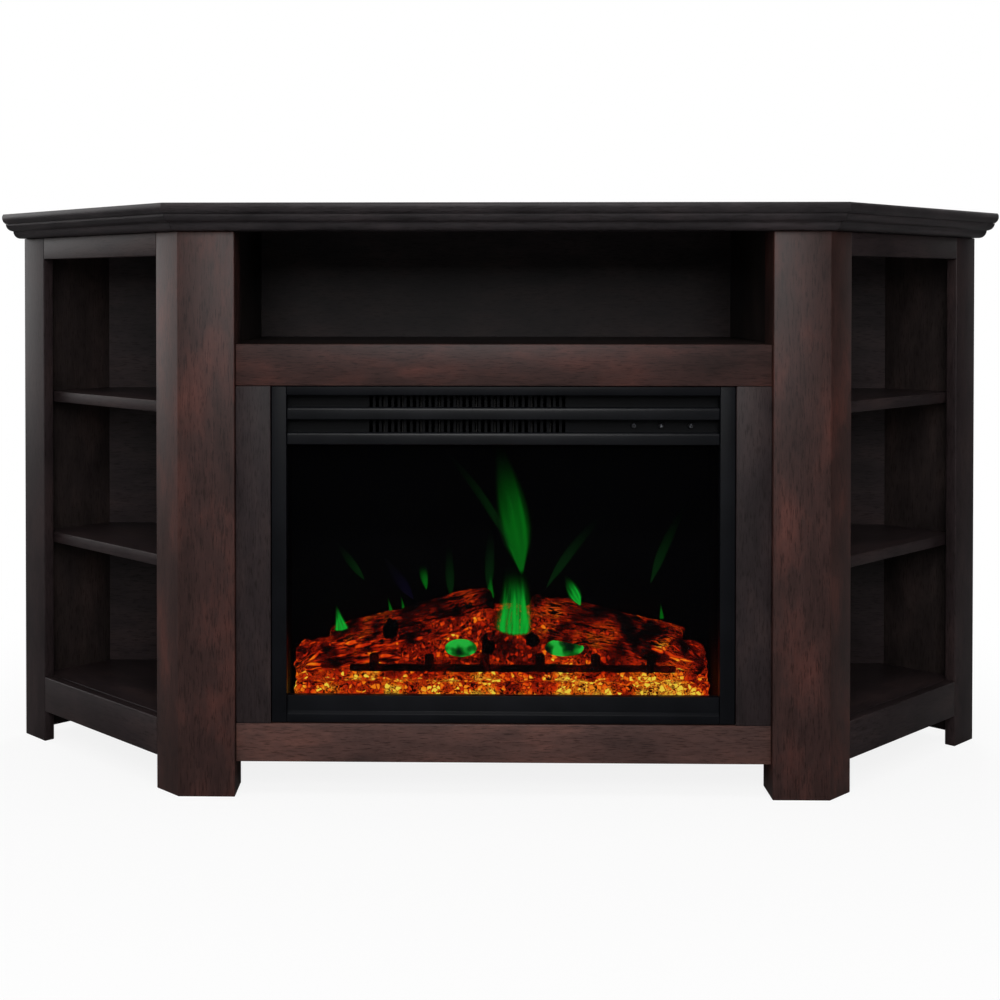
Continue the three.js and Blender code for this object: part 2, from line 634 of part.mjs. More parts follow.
function makeCase() {
  const depth = [CASE_Y, CASE_BACK_Y];
  const inside = [CASE_Y, CASE_BACK_Y - SHEET - FIT];
  const width = [-CASE_X, CASE_X];
  piece('case_floor', 'blackSteel', boardGeometry(width, depth, [CASE_Z, CASE_FLOOR]), insert);
  const roof = boardGeometry(width, depth, [CASE_TOP - SHEET, CASE_TOP]);
  piece('case_roof', 'blackSteel', roof, insert);

  const wallHeight = [CASE_FLOOR + FIT, CASE_TOP - SHEET - FIT];
  const leftWall = boardGeometry([-CASE_X, -CASE_INNER_X], depth, wallHeight);
  const bearing = rodGeometry(SPINDLE_ROD_RADIUS + FIT, [-CASE_X - CUT_MARGIN, -CASE_INNER_X + CUT_MARGIN],
    SPINDLE_Y, SPINDLE_Z);
  piece('case_wall_left', 'blackSteel', cut(leftWall, [bearing]), insert);
  const rightWall = boardGeometry([CASE_INNER_X, CASE_X], depth, wallHeight);
  piece('case_wall_right', 'blackSteel', rightWall, insert);

  const inner = CASE_INNER_X - FIT;
  const backDepth = [CASE_BACK_Y - SHEET, CASE_BACK_Y];
  piece('case_back', 'blackSteel', boardGeometry([-inner, inner], backDepth, wallHeight), insert);

  const plenum = [PLENUM_TOP - SHEET, PLENUM_TOP];
  piece('plenum_floor', 'blackSteel', boardGeometry([-inner, inner], inside, plenum), insert);
}

// ---------------------------------------------------------------- fire
// Each log bends through three points of [x, y, height over the case floor].
const LOGS = {
  left: [[-226, 14, 103], [-125, 22, 121], [-14, 30, 149]],
  right: [[226, 14, 101], [125, 20, 127], [38, 26, 149]],
};
const LOG_FLATS = 0.12;            // how far every second side of a log is pressed in
const LOG_STEPS = 6;
// Outline of the mound's right half from the side up: [share of the half width, of the rise]
const MOUND_PROFILE = [[1, 0], [0.5, 0.5], [0.08, 1]];

function logGeometry(points, radius) {
  const outline = new THREE.Shape();
  for (let i = 0; i < LOG_SIDES; i += 1) {
    const turn = (2 * Math.PI * i) / LOG_SIDES;
    const reach = radius * (1 - LOG_FLATS * (i % 2));
    const at = [reach * Math.cos(turn), reach * Math.sin(turn)];
    if (i === 0) outline.moveTo(...at);
    else outline.lineTo(...at);
  }
  const path = new THREE.CatmullRomCurve3(
    points.map(([x, y, z]) => new THREE.Vector3(x, MOUND_Y + y, CASE_FLOOR + z)));
  return new THREE.ExtrudeGeometry(
    outline, { extrudePath: path, steps: LOG_STEPS, bevelEnabled: false });
}

function makeFire() {
  const bedY = CASE_Y + GLASS_THICKNESS + BED_FRONT_GAP;
  const floor = CASE_FLOOR + FIT;
  const tray = boardGeometry([-BED_HALF_WIDTH, BED_HALF_WIDTH], [bedY, MOUND_Y + CUT_MARGIN],
    [floor, CASE_FLOOR + TRAY_HEIGHT]);
  const crown = CASE_FLOOR + MOUND_HEIGHT;
  const shoulder = CASE_FLOOR + MOUND_SIDE_HEIGHT;
  const rising = MOUND_PROFILE.map(
    ([out, up]) => [out * BED_HALF_WIDTH, shoulder + up * (crown - shoulder)]);
  const moundRight = [[BED_HALF_WIDTH, floor], ...rising];
  const moundView = [...moundRight, ...mirrored(moundRight, -1).reverse()];
  const mound = frontGeometry(moundView, [MOUND_Y, MOUND_Y + MOUND_DEPTH]);
  const hollow = boardGeometry(
    [-BED_HALF_WIDTH + BED_SHELL, BED_HALF_WIDTH - BED_SHELL],
    [bedY + BED_SHELL, MOUND_Y + MOUND_DEPTH - BED_SHELL],
    [floor - CUT_MARGIN, CASE_FLOOR + TRAY_HEIGHT - BED_SHELL]);
  const saddles = Object.values(LOGS).map(
    (points) => logGeometry(points, LOG_RADIUS + LOG_SEAT));
  const bed = cut(join([tray, mound]), [hollow, ...saddles]);
  piece('ember_bed', 'ember', bed, insert);
  for (const [side, points] of Object.entries(LOGS)) {
    piece(`log_${side}`, 'log', logGeometry(points, LOG_RADIUS), insert);
  }

  const led = boardGeometry([-BED_HALF_WIDTH + 2 * BED_SHELL, BED_HALF_WIDTH - 2 * BED_SHELL],
    [bedY + BED_SHELL + FIT, bedY + BED_SHELL + FIT + LED_BOARD.depth],
    [CASE_FLOOR + FIT, CASE_FLOOR + FIT + LED_BOARD.thickness]);
  piece('led_board', 'circuit', led, insert);
  makeGrate(bedY);
}

function makeGrate(bedY) {
  const y0 = bedY + (TRAY_DEPTH - GRATE_BAR) / 2;
  const depth = [y0, y0 + GRATE_BAR];
  const foot = CASE_FLOOR + TRAY_HEIGHT + FIT;
  const barFoot = foot + GRATE_STAND;
  const ends = [GRATE_CENTRE_X - GRATE_WIDTH / 2, GRATE_CENTRE_X + GRATE_WIDTH / 2];
  const parts = [boardGeometry(ends, depth, [barFoot, barFoot + GRATE_BAR])];
  for (let i = 0; i < GRATE_STUBS; i += 1) {
    const x = GRATE_CENTRE_X + (i - (GRATE_STUBS - 1) / 2) * GRATE_STUB_PITCH;
    const stub = [x - GRATE_BAR / 2, x + GRATE_BAR / 2];
    parts.push(boardGeometry(stub, depth, [foot, barFoot + GRATE_BAR + GRATE_STUB_RISE]));
  }
  piece('fire_grate', 'castIron', join(parts), insert);
}

// ---------------------------------------------------------------- flame effect
// A rod with thin radial fins, as [y, z] points.
function finnedSection(y, z, fins, rodRadius, finRadius, finWidth) {
  const points = [];
  const half = finWidth / 2;
  for (let i = 0; i < fins; i += 1) {
    const turn = (2 * Math.PI * i) / fins;
    const out = [Math.cos(turn), Math.sin(turn)];
    const across = [-Math.sin(turn), Math.cos(turn)];
    const root = Math.sqrt(rodRadius ** 2 - half ** 2);
    const corners = [[root, -half], [finRadius, -half], [finRadius, half], [root, half]];
    for (const [reach, shift] of corners) {
      points.push([
        y + reach * out[0] + shift * across[0],
        z + reach * out[1] + shift * across[1],
      ]);
    }
  }
  return points;
}

function makeFlameEffect() {
  const inner = CASE_INNER_X - FIT;
  const screenHeight = [CASE_FLOOR + FIT, PLENUM_TOP - SHEET - FIT];
  const screenDepth = [SCREEN_Y, SCREEN_Y + SCREEN_THICKNESS];
  const screen = boardGeometry([-inner, inner], screenDepth, screenHeight);
  piece('flame_screen', 'blackPlastic', screen, insert);

  const motorX = CASE_INNER_X - FIT - MOTOR_LENGTH;
  const finEnds = [-CASE_INNER_X + 2 * SPINDLE_CLEARANCE, motorX - SPINDLE_CLEARANCE];
  const fins = barGeometry(finnedSection(SPINDLE_Y, SPINDLE_Z, SPINDLE_FINS,
    SPINDLE_ROD_RADIUS, SPINDLE_FIN_RADIUS, SPINDLE_FIN_WIDTH), finEnds);
  const rod = rodGeometry(SPINDLE_ROD_RADIUS, [-CASE_X, motorX - FIT], SPINDLE_Y, SPINDLE_Z);
  piece('flame_spindle', 'aluminium', join([fins, rod]), insert);
  const motor = rodGeometry(MOTOR_RADIUS, [motorX, motorX + MOTOR_LENGTH], SPINDLE_Y, SPINDLE_Z);
  piece('spindle_motor', 'blackPlastic', motor, insert);
}

// ---------------------------------------------------------------- heater
function makeHeater() {
  const ceiling = CASE_TOP - SHEET - FIT;
  const floor = PLENUM_TOP + FIT;
  const middle = (ceiling + floor) / 2;
  const ends = [VENT_CENTRE_X - BLOWER_LENGTH / 2, VENT_CENTRE_X + BLOWER_LENGTH / 2];
  const heaterY = PANEL_Y + VENT_PANEL_THICKNESS + HEATER_GAP;

  const heaterDepth = [heaterY, heaterY + HEATER_DEPTH];
  const bars = [
    boardGeometry(ends, heaterDepth, [floor, floor + HEATER_FIN_WIDTH * 2]),
    boardGeometry(ends, heaterDepth, [ceiling - HEATER_FIN_WIDTH * 2, ceiling]),
  ];
  for (let i = 0; i <= HEATER_FINS; i += 1) {
    const x = ends[0] + (i * (BLOWER_LENGTH - HEATER_FIN_WIDTH)) / HEATER_FINS;
    bars.push(boardGeometry([x, x + HEATER_FIN_WIDTH], heaterDepth, [floor, ceiling]));
  }
  piece('heater_element', 'ceramic', join(bars), insert);

  const housingY = heaterY + HEATER_DEPTH + HEATER_GAP;
  const reach = BLOWER_RADIUS + HOUSING_CLEARANCE;
  const wheelY = housingY + reach + HOUSING_CLEARANCE;
  const housingBack = wheelY + reach + HOUSING_WALL;
  const housing = [
    [housingY, floor], [housingBack, floor], [housingBack, ceiling], [housingY, ceiling],
    [housingY, ceiling - HOUSING_WALL], [housingBack - HOUSING_WALL, ceiling - HOUSING_WALL],
    [housingBack - HOUSING_WALL, floor + HOUSING_WALL], [housingY, floor + HOUSING_WALL],
  ];
  const channel = barGeometry(housing, [ends[0] - HOUSING_WALL, ends[1] + HOUSING_WALL]);
  const cheekDepth = [housingY, housingBack - HOUSING_WALL / 2];
  const cheeks = [
    boardGeometry([ends[0] - HOUSING_WALL, ends[0]], cheekDepth, [floor, ceiling]),
    boardGeometry([ends[1], ends[1] + HOUSING_WALL], cheekDepth, [floor, ceiling]),
  ];
  const bearing = rodGeometry(BLOWER_SHAFT_RADIUS + FIT,
    [ends[0] - HOUSING_WALL - CUT_MARGIN, ends[1] + HOUSING_WALL + CUT_MARGIN], wheelY, middle);
  piece('blower_housing', 'blackSteel', cut(join([channel, ...cheeks]), [bearing]), insert);

  const wheelEnds = [ends[0] + HOUSING_CLEARANCE, ends[1] - HOUSING_CLEARANCE];
  const blades = barGeometry(finnedSection(wheelY, middle, BLOWER_BLADES,
    BLOWER_RADIUS - BLOWER_BLADE_DEPTH, BLOWER_RADIUS, BLOWER_BLADE_WIDTH), wheelEnds);
  const shaft = rodGeometry(BLOWER_SHAFT_RADIUS,
    [ends[0] - HOUSING_WALL, ends[1] + HOUSING_WALL], wheelY, middle);
  piece('blower_wheel', 'aluminium', join([blades, shaft]), insert);

  const motorX = ends[1] + HOUSING_WALL + FIT;
  const motor = rodGeometry(BLOWER_RADIUS, [motorX, motorX + BLOWER_MOTOR_LENGTH], wheelY, middle);
  piece('blower_motor', 'blackPlastic', motor, insert);
}

function makeElectrics() {
  const buttonsX = Object.values(BUTTON_X);
  const centre = (Math.min(...buttonsX) + Math.max(...buttonsX)) / 2;
  const boardY = PANEL_Y - BUTTON_PROUD + BUTTON_LENGTH + BUTTON_TRAVEL + FIT;
  const foot = PLENUM_TOP + FIT;
  const board = boardGeometry(
    [centre - CIRCUIT_BOARD.width / 2, centre + CIRCUIT_BOARD.width / 2],
    [boardY, boardY + CIRCUIT_BOARD.thickness], [foot, foot + CIRCUIT_BOARD.height]);
  piece('control_board', 'circuit', board, insert);

  const x = CASE_X - INLET.fromEdge;
  const z = CASE_FLOOR + INLET.rise;
  const inletDepth = [CASE_BACK_Y + FIT, CASE_BACK_Y + FIT + INLET.depth];
  const block = boardGeometry([x - INLET.width / 2, x + INLET.width / 2], inletDepth,
    [z - INLET.height / 2, z + INLET.height / 2]);
  const boreDepth = [inletDepth[0] - CUT_MARGIN, inletDepth[1] + CUT_MARGIN];
  const bore = pegGeometry(INLET.bore, boreDepth, x, z);
  piece('cord_inlet', 'blackPlastic', cut(block, [bore]), insert);
}

// ---------------------------------------------------------------- assembly
makeTop();
makeMoulding();
makePosts();
makeRails();
makePanels();
makeShelves();
makeTrim();
makeLouvres();
makeVentPanel();
makeGlass();
makeCase();
makeFire();
makeFlameEffect();
makeHeater();
makeElectrics();

// The origin is the middle of the footprint, on the floor.
object.position.y = (TOP_OVERHANG - TOP_BACK_Y) / 2;

export default object;
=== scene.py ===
# %% [markdown]
# A corner fireplace: a stained wooden stand with an open niche, shelves in both angled sides,
# and an electric fire insert with a lit log set. The construction comes in as a finished
# frame, at its true size, and this lesson dresses it: edges get their soft radius, every
# surface gets its finish, and the fire gets its embers, bark and flames.

# %% Load the construction
import math
import bpy
from mathutils import Matrix, Vector, noise


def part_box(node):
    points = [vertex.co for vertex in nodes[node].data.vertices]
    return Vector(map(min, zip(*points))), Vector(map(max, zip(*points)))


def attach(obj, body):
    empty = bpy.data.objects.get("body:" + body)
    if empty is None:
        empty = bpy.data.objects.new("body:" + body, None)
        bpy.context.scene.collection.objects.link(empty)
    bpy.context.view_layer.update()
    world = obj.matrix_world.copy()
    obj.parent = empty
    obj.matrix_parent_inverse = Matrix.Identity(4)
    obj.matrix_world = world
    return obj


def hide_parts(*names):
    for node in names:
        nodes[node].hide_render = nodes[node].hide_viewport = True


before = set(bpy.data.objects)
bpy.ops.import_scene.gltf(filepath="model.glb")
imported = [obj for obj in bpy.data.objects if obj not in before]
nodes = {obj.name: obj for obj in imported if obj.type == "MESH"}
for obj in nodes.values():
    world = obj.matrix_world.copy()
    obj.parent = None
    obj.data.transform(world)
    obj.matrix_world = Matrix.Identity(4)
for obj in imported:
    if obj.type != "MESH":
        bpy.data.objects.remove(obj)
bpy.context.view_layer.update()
BODY = "fireplace"
MM = 0.001

# %% [markdown]
# Colours are written as sRGB hex, the way a paint chart or a colour picker gives them.
# Blender's sockets want linear light, so one function does the turning, and one function adds
# a node with its settings and links. Sums, ramps and remapped values come up in every finish,
# so each has a short helper built on that one.

# %% Colour and node helpers
def linear(hex_colour, alpha=1.0):
    channels = [int(hex_colour[i:i + 2], 16) / 255 for i in (1, 3, 5)]
    turned = [c / 12.92 if c <= 0.04045 else ((c + 0.055) / 1.055) ** 2.4 for c in channels]
    return (*turned, alpha)


def add(tree, kind, inputs=None, **settings):
    """Adds a node. An input is a value, or the output socket that it is linked to."""
    node = tree.nodes.new(kind)
    for name, value in settings.items():
        setattr(node, name, value)
    for name, value in (inputs or {}).items():
        if isinstance(value, bpy.types.NodeSocket):
            tree.links.new(value, node.inputs[name])
        else:
            node.inputs[name].default_value = value
    return node


def blank_material(name):
    material = bpy.data.materials.new(name)
    material.use_nodes = True
    material.node_tree.nodes.clear()
    return material, material.node_tree


def colour_ramp(tree, factor, stops):
    """A ramp through (position, hex colour) stops."""
    ramp = add(tree, "ShaderNodeValToRGB", {"Fac": factor})
    elements = ramp.color_ramp.elements
    while len(elements) < len(stops):
        elements.new(0.5)
    for element, (position, colour) in zip(elements, stops):
        element.position = position
        element.color = linear(colour)
    return ramp.outputs["Color"]


def calculated(tree, operation, *values, clamp=False):
    """The result of a Math node."""
    return add(tree, "ShaderNodeMath", dict(enumerate(values)), operation=operation,
               use_clamp=clamp).outputs[0]


def remapped(tree, value, source, target, smooth=False):
    """A value moved from one (low, high) range to another, and kept inside it."""
    return add(tree, "ShaderNodeMapRange", {
        "Value": value, "From Min": source[0], "From Max": source[1],
        "To Min": target[0], "To Max": target[1]},
        interpolation_type="SMOOTHSTEP" if smooth else "LINEAR").outputs["Result"]


def per_metre(detail_mm):
    """The Scale of a texture whose detail is this many millimetres wide."""
    return 1000 / detail_mm


# %% [markdown]
# **Stained veneer.** The cabinet is fibreboard under a thin wood veneer, sprayed with a dark
# mahogany stain and a satin lacquer. The stain sits unevenly: red-brown clouds a few
# centimetres wide show through the near-black, longer along the grain than across it. Fine
# pores run with the grain as short dark dashes, and also catch the light as tiny grooves.
# A joiner runs the grain along a board's length, so each board gets the pattern stretched
# along its own direction. The Mapping node works as TEXTURE, which turns before it stretches.

# %% Stained veneer
GRAIN_STRETCH, CLOUD_STRETCH = 10.0, 2.4
CLOUD_MM, FIGURE_MM, PORE_MM = 48, 6, 1.4
GRAIN_TURNS = {"upright": 0, "across": 0, "side_right": 45, "side_left": -45}


def grain_mapping(tree, place, grain, stretch):
    scale = (1, 1, stretch) if grain == "upright" else (stretch, 1, 1)
    turn = (0, 0, math.radians(GRAIN_TURNS[grain]))
    return add(tree, "ShaderNodeMapping", {"Vector": place, "Rotation": turn, "Scale": scale},
               vector_type="TEXTURE").outputs["Vector"]


def stained_veneer(name, grain, tone, shine, roughness=0.4):
    material, tree = blank_material(name)
    place = add(tree, "ShaderNodeTexCoord").outputs["Object"]
    clouds = add(tree, "ShaderNodeTexNoise", {
        "Vector": grain_mapping(tree, place, grain, CLOUD_STRETCH),
        "Scale": per_metre(CLOUD_MM), "Detail": 6, "Roughness": 0.58}).outputs["Fac"]
    stain = colour_ramp(tree, clouds, list(zip((0.28, 0.5, 0.76), tone)))
    along = grain_mapping(tree, place, grain, GRAIN_STRETCH)
    figure = add(tree, "ShaderNodeTexNoise", {
        "Vector": along, "Scale": per_metre(FIGURE_MM), "Detail": 6, "Roughness": 0.7,
        "Distortion": 0.5}).outputs["Fac"]
    figure_shade = colour_ramp(tree, figure, [(0.3, "#dadada"), (0.7, "#ffffff")])
    figured = add(tree, "ShaderNodeMixRGB", {
        "Fac": 1, "Color1": stain, "Color2": figure_shade}, blend_type="MULTIPLY")
    pores = add(tree, "ShaderNodeTexNoise", {
        "Vector": along, "Scale": per_metre(PORE_MM), "Detail": 3, "Roughness": 0.6}).outputs["Fac"]
    pore_shade = colour_ramp(tree, pores, [(0.36, "#bdb6b2"), (0.47, "#ffffff")])
    pored = add(tree, "ShaderNodeMixRGB", {
        "Fac": 1, "Color1": figured.outputs["Color"], "Color2": pore_shade}, blend_type="MULTIPLY")
    gloss = remapped(tree, figure, (0, 1), (roughness - 0.06, roughness + 0.08))
    grooves = add(tree, "ShaderNodeBump", {"Strength": 0.25, "Distance": 0.0003, "Height": pores})
    lacquered = add(tree, "ShaderNodeBsdfPrincipled", {
        "Base Color": pored.outputs["Color"], "Roughness": gloss, "IOR": 1.5,
        "Specular IOR Level": shine, "Normal": grooves.outputs["Normal"]})
    add(tree, "ShaderNodeOutputMaterial", {"Surface": lacquered.outputs["BSDF"]})
    return material


# One stain for the whole cabinet: the first tone is the stain itself, and the others are lighter
# and darker copies of it that paint light and shade.
MAHOGANY = ("#281a18", "#372320", "#542f28")
# Lighter and redder: painted light from the floor's bounce, on the front bottom rail.
PAINTED_LIGHT_RUSSET = ("#3b2a27", "#4e3631", "#664239")
# Darker and greyer: painted shade with a grey painted sheen, on side faces, rear posts, fillers,
# shelves and the back panel.
PAINTED_SHADE_UMBER = ("#1f191a", "#292122", "#362a29")
# Darker and greyer: painted shade with a grey painted sheen, on the top and its moulding.
PAINTED_SHADE_SMOKED = ("#1e1b1d", "#2c282a", "#393133")
SHADED = ("#191515", "#26201f", "#342a28")
SIDES = ("side_left", "side_right")
# name: tone, shine and the grain directions in use
VENEERS = {
    "mahogany": (MAHOGANY, 0.2, ("upright", "across")),
    "painted_light_russet": (PAINTED_LIGHT_RUSSET, 0.2, ("across",)),
    "painted_shade_umber": (PAINTED_SHADE_UMBER, 0.13, ("upright", "across", *SIDES)),
    "painted_shade_smoked": (PAINTED_SHADE_SMOKED, 0.2, ("across", *SIDES)),
    "shaded": (SHADED, 0.07, ("upright", "across")),
}
veneers = {}
for tone_name, (tone, shine, grains) in VENEERS.items():
    for grain in grains:
        veneers[tone_name, grain] = stained_veneer(
            f"{tone_name}_stained_veneer_{grain}", grain, tone, shine)
print("veneers:", len(veneers))

# %% [markdown]
# **Powder-coated steel.** The trim, the sill and the louvres of the insert are folded sheet
# with a black powder coat. Baked powder leaves a very fine orange peel, about 0.8 mm from bump
# to bump, and a satin, slightly bluish black. The louvres are a little glossier, so that their
# upper edges catch the overhead light. The case behind has the same coat, duller.

# %% Powder-coated steel
HAZE_MM = 70


def powder_coat(name, colour, roughness, peel_mm=0.8, shine=0.09):
    material, tree = blank_material(name)
    place = add(tree, "ShaderNodeTexCoord").outputs["Object"]
    peel = add(tree, "ShaderNodeTexNoise", {
        "Vector": place, "Scale": per_metre(peel_mm), "Detail": 2}).outputs["Fac"]
    haze = add(tree, "ShaderNodeTexNoise", {
        "Vector": place, "Scale": per_metre(HAZE_MM), "Detail": 4}).outputs["Fac"]
    duller = remapped(tree, haze, (0, 1), (roughness - 0.07, roughness + 0.07))
    tint = colour_ramp(tree, haze, [(0.3, colour[0]), (0.7, colour[1])])
    bump = add(tree, "ShaderNodeBump", {"Strength": 0.12, "Distance": 0.0001, "Height": peel})
    coat = add(tree, "ShaderNodeBsdfPrincipled", {
        "Base Color": tint, "Roughness": duller, "IOR": 1.5, "Specular IOR Level": shine,
        "Normal": bump.outputs["Normal"]})
    add(tree, "ShaderNodeOutputMaterial", {"Surface": coat.outputs["BSDF"]})
    return material


trim_steel = powder_coat("black_powder_coated_steel", ("#06070a", "#0b0c10"), 0.42)
louvre_steel = powder_coat("satin_louvre_steel", ("#07080b", "#0b0c10"), 0.34, shine=0.22)
vent_steel = powder_coat("vent_panel_steel", ("#08090b", "#0c0d10"), 0.55)
case_steel = powder_coat("dull_black_sheet_steel", ("#060606", "#0b0b0c"), 0.7)
moulded_plastic = powder_coat("black_moulded_plastic", ("#121214", "#19191c"), 0.5, peel_mm=1.2)

# %% [markdown]
# ** Smoked glass.** The pane is tempered glass with a dark tint, so that only the lit fire shows
# through and the case behind stays black. A thin alpha-blended sheet does that without the
# noise of true refraction: the part that isn't see-through is near-black and polished. The
# fan wheel and the heater show faintly through the vent slots, so both are painted dark as
# painted shade, the shade that falls inside the case.

# %% Smoked glass and the hidden metals
def plain_finish(name, colours, roughness, metallic=0.0, detail_mm=12.0, **sockets):
    """A finish whose colour and gloss drift between two tones."""
    material, tree = blank_material(name)
    place = add(tree, "ShaderNodeTexCoord").outputs["Object"]
    drift = add(tree, "ShaderNodeTexNoise", {
        "Vector": place, "Scale": per_metre(detail_mm), "Detail": 4}).outputs["Fac"]
    tint = colour_ramp(tree, drift, [(0.35, colours[0]), (0.65, colours[1])])
    rough = remapped(tree, drift, (0, 1), (roughness * 0.85, roughness * 1.15))
    shader = add(tree, "ShaderNodeBsdfPrincipled", {
        "Base Color": tint, "Roughness": rough, "Metallic": metallic})
    for socket, value in sockets.items():
        shader.inputs[socket.replace("_", " ")].default_value = value
    add(tree, "ShaderNodeOutputMaterial", {"Surface": shader.outputs["BSDF"]})
    return material


smoked_glass = plain_finish("smoked_tempered_glass", ("#020203", "#030304"), 0.04, detail_mm=200,
                            Alpha=0.5, IOR=1.5, Specular_IOR_Level=0.05)
smoked_acrylic = plain_finish("smoked_acrylic_sheet", ("#010101", "#020202"), 0.4,
                              Specular_IOR_Level=0.05)
bright_aluminium = plain_finish("polished_aluminium", ("#c9ccd0", "#dadde0"), 0.25, metallic=1.0)
# The fan wheel and the heater are darkened as painted shade: inside the case they sit in shade.
painted_shade_aluminium = plain_finish("aluminium_darkened_as_painted_shade", ("#151618", "#1c1d20"), 0.75, metallic=1.0,
                              Specular_IOR_Level=0.1)
painted_shade_ceramic = plain_finish("ceramic_darkened_as_painted_shade", ("#121110", "#1b1a19"), 0.8)
circuit_resin = plain_finish("green_epoxy_board", ("#17402b", "#205238"), 0.45)
zinc_screw = plain_finish("zinc_plated_steel", ("#8e9196", "#a6a9ad"), 0.35, metallic=1.0,
                          detail_mm=3)

# %% [markdown]
# Selecting. Operators act on whatever is selected, and the construction arrives selected, so
# every step starts by selecting one object alone.

# %% Selecting and dressing helpers
def select_only(piece):
    bpy.ops.object.select_all(action="DESELECT")
    piece.select_set(True)
    bpy.context.view_layer.objects.active = piece


def apply_modifier(piece, kind, **settings):
    select_only(piece)
    modifier = piece.modifiers.new(kind.title(), kind)
    for name, value in settings.items():
        setattr(modifier, name, value)
    bpy.ops.object.modifier_apply(modifier=modifier.name)


def settle(piece):
    """Puts an object's place, turn and size into its mesh."""
    select_only(piece)
    bpy.ops.object.transform_apply(location=True, rotation=True, scale=True)


def dress(piece, material, body=BODY, smooth_below=40):
    """Gives a finished piece its material, shading and the body it rides on."""
    select_only(piece)
    piece.data.materials.clear()
    piece.data.materials.append(material)
    bpy.ops.object.shade_smooth_by_angle(angle=math.radians(smooth_below))
    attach(piece, body)
    return piece


def finish_node(node, material):
    """Gives a node as it came its material, for pieces that need no other change."""
    nodes[node].material_slots[0].material = material


def clean_copy(node):
    """A separate copy of a node's mesh, with its vertices joined and flat faces whole."""
    piece = nodes[node].copy()
    piece.data = nodes[node].data.copy()
    piece.parent = None
    piece.matrix_world = Matrix()
    piece.name = f"{node}_finished"
    bpy.context.scene.collection.objects.link(piece)
    select_only(piece)
    bpy.ops.object.mode_set(mode="EDIT")
    bpy.ops.mesh.select_all(action="SELECT")
    bpy.ops.mesh.remove_doubles(threshold=0.01 * MM)
    bpy.ops.mesh.dissolve_limited(angle_limit=math.radians(0.5))
    bpy.ops.object.mode_set(mode="OBJECT")
    return piece


# %% [markdown]
# **Eased edges.** On a real board no edge is knife-sharp: the veneer is folded or sanded to a
# radius of about a millimetre, and that thin band catches the light all round. The flat node
# stands in for the board's size; a copy with a three-step bevel takes its place in the picture.
# A bevel modifier limited by angle reaches every edge at once, where selecting them by hand
# would take a step for each board.

# %% Ease the edges of the cabinet
def eased(node, radius_mm, material, body=BODY, steps=3):
    piece = clean_copy(node)
    apply_modifier(piece, "BEVEL", width=radius_mm * MM, segments=steps, limit_method="ANGLE",
                   angle_limit=math.radians(30))
    dress(piece, material, body)
    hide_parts(node)
    return piece


# Rear posts, fillers, side rails and side shelves take a darker, greyer copy of the stain: painted
# shade with a grey painted sheen.
for side in ("left", "right"):
    along_side = f"side_{side}"
    eased(f"front_post_{side}", 1.2, veneers["mahogany", "upright"])
    eased(f"rear_post_{side}", 1.2, veneers["painted_shade_umber", "upright"])
    eased(f"filler_strip_{side}", 1.0, veneers["painted_shade_umber", "upright"])
    eased(f"side_top_rail_{side}", 1.0, veneers["painted_shade_umber", along_side])
    eased(f"side_bottom_rail_{side}", 1.0, veneers["painted_shade_umber", along_side])
    for tier in ("bottom", "lower", "upper"):
        eased(f"side_shelf_{tier}_{side}", 1.0, veneers["painted_shade_umber", along_side])
    eased(f"divider_{side}", 0.8, veneers["shaded", "upright"])
    eased(f"wall_panel_{side}", 0.8, veneers["shaded", "upright"])
eased("header_rail", 1.2, veneers["mahogany", "across"])
# The bottom rail takes a lighter, redder copy of the stain: painted light from the floor's bounce.
eased("front_bottom_rail", 1.2, veneers["painted_light_russet", "across"])
eased("niche_shelf", 0.6, veneers["shaded", "across"])
eased("insert_platform", 0.6, veneers["shaded", "across"])
# The back panel takes the darker, greyer copy too: painted shade.
finish_node("back_panel", veneers["painted_shade_umber", "across"])
print("cabinet boards eased")

# %% [markdown]
# **Top and moulding.** The moulded edge is three rounded beads, one over the other. Their
# rounds are already in the nodes as short facets, and smooth shading below 40 degrees joins
# those facets while the creases between the beads stay crisp.

# %% Finish the top and the crown moulding
# The top and its moulding take a darker, greyer copy of the stain: painted shade with a grey
# painted sheen.
eased("top_board", 0.6, veneers["painted_shade_smoked", "across"])
for end, grain in {"front": "across", "left": "side_left", "right": "side_right"}.items():
    moulding = clean_copy(f"crown_moulding_{end}")
    dress(moulding, veneers["painted_shade_smoked", grain])
    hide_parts(f"crown_moulding_{end}")

# %% [markdown]
# **Insert front.** The trim is folded sheet, so its edges are rounder than a sawn one. The
# louvre blades are rounder still, and their upper edges show as thin bright lines.

# %% Finish the insert's steel
for node in ("insert_trim_left", "insert_trim_right", "insert_trim_top", "insert_sill"):
    eased(node, 0.7, trim_steel)
for node in ("louvre_upper", "louvre_lower"):
    eased(node, 1.3, louvre_steel)
for node in ("case_floor", "case_roof", "case_wall_left", "case_wall_right", "case_back",
             "plenum_floor", "blower_housing"):
    finish_node(node, case_steel)
eased("glass_pane", 0.5, smoked_glass)
eased("cord_inlet", 1.5, moulded_plastic)
for node in ("spindle_motor", "blower_motor"):
    eased(node, 1.5, moulded_plastic)
for node, material in {
        "vent_panel": vent_steel, "flame_spindle": bright_aluminium,
        "blower_wheel": painted_shade_aluminium, "heater_element": painted_shade_ceramic,
        "led_board": circuit_resin, "control_board": circuit_resin,
        "flame_screen": smoked_acrylic}.items():
    finish_node(node, material)

# %% [markdown]
# **Buttons.** Each is a small moulded peg with a dished face and a printed sign: a ring with a
# bar for power, a drop for the flame, and stacked bars for the heat. The peg starts as a
# cylinder; its front face is found by its normal, inset and pushed in for the dish.

# %% Model the buttons
DISH_DEPTH = 0.25 * MM
SIGN_RELIEF = 0.2 * MM


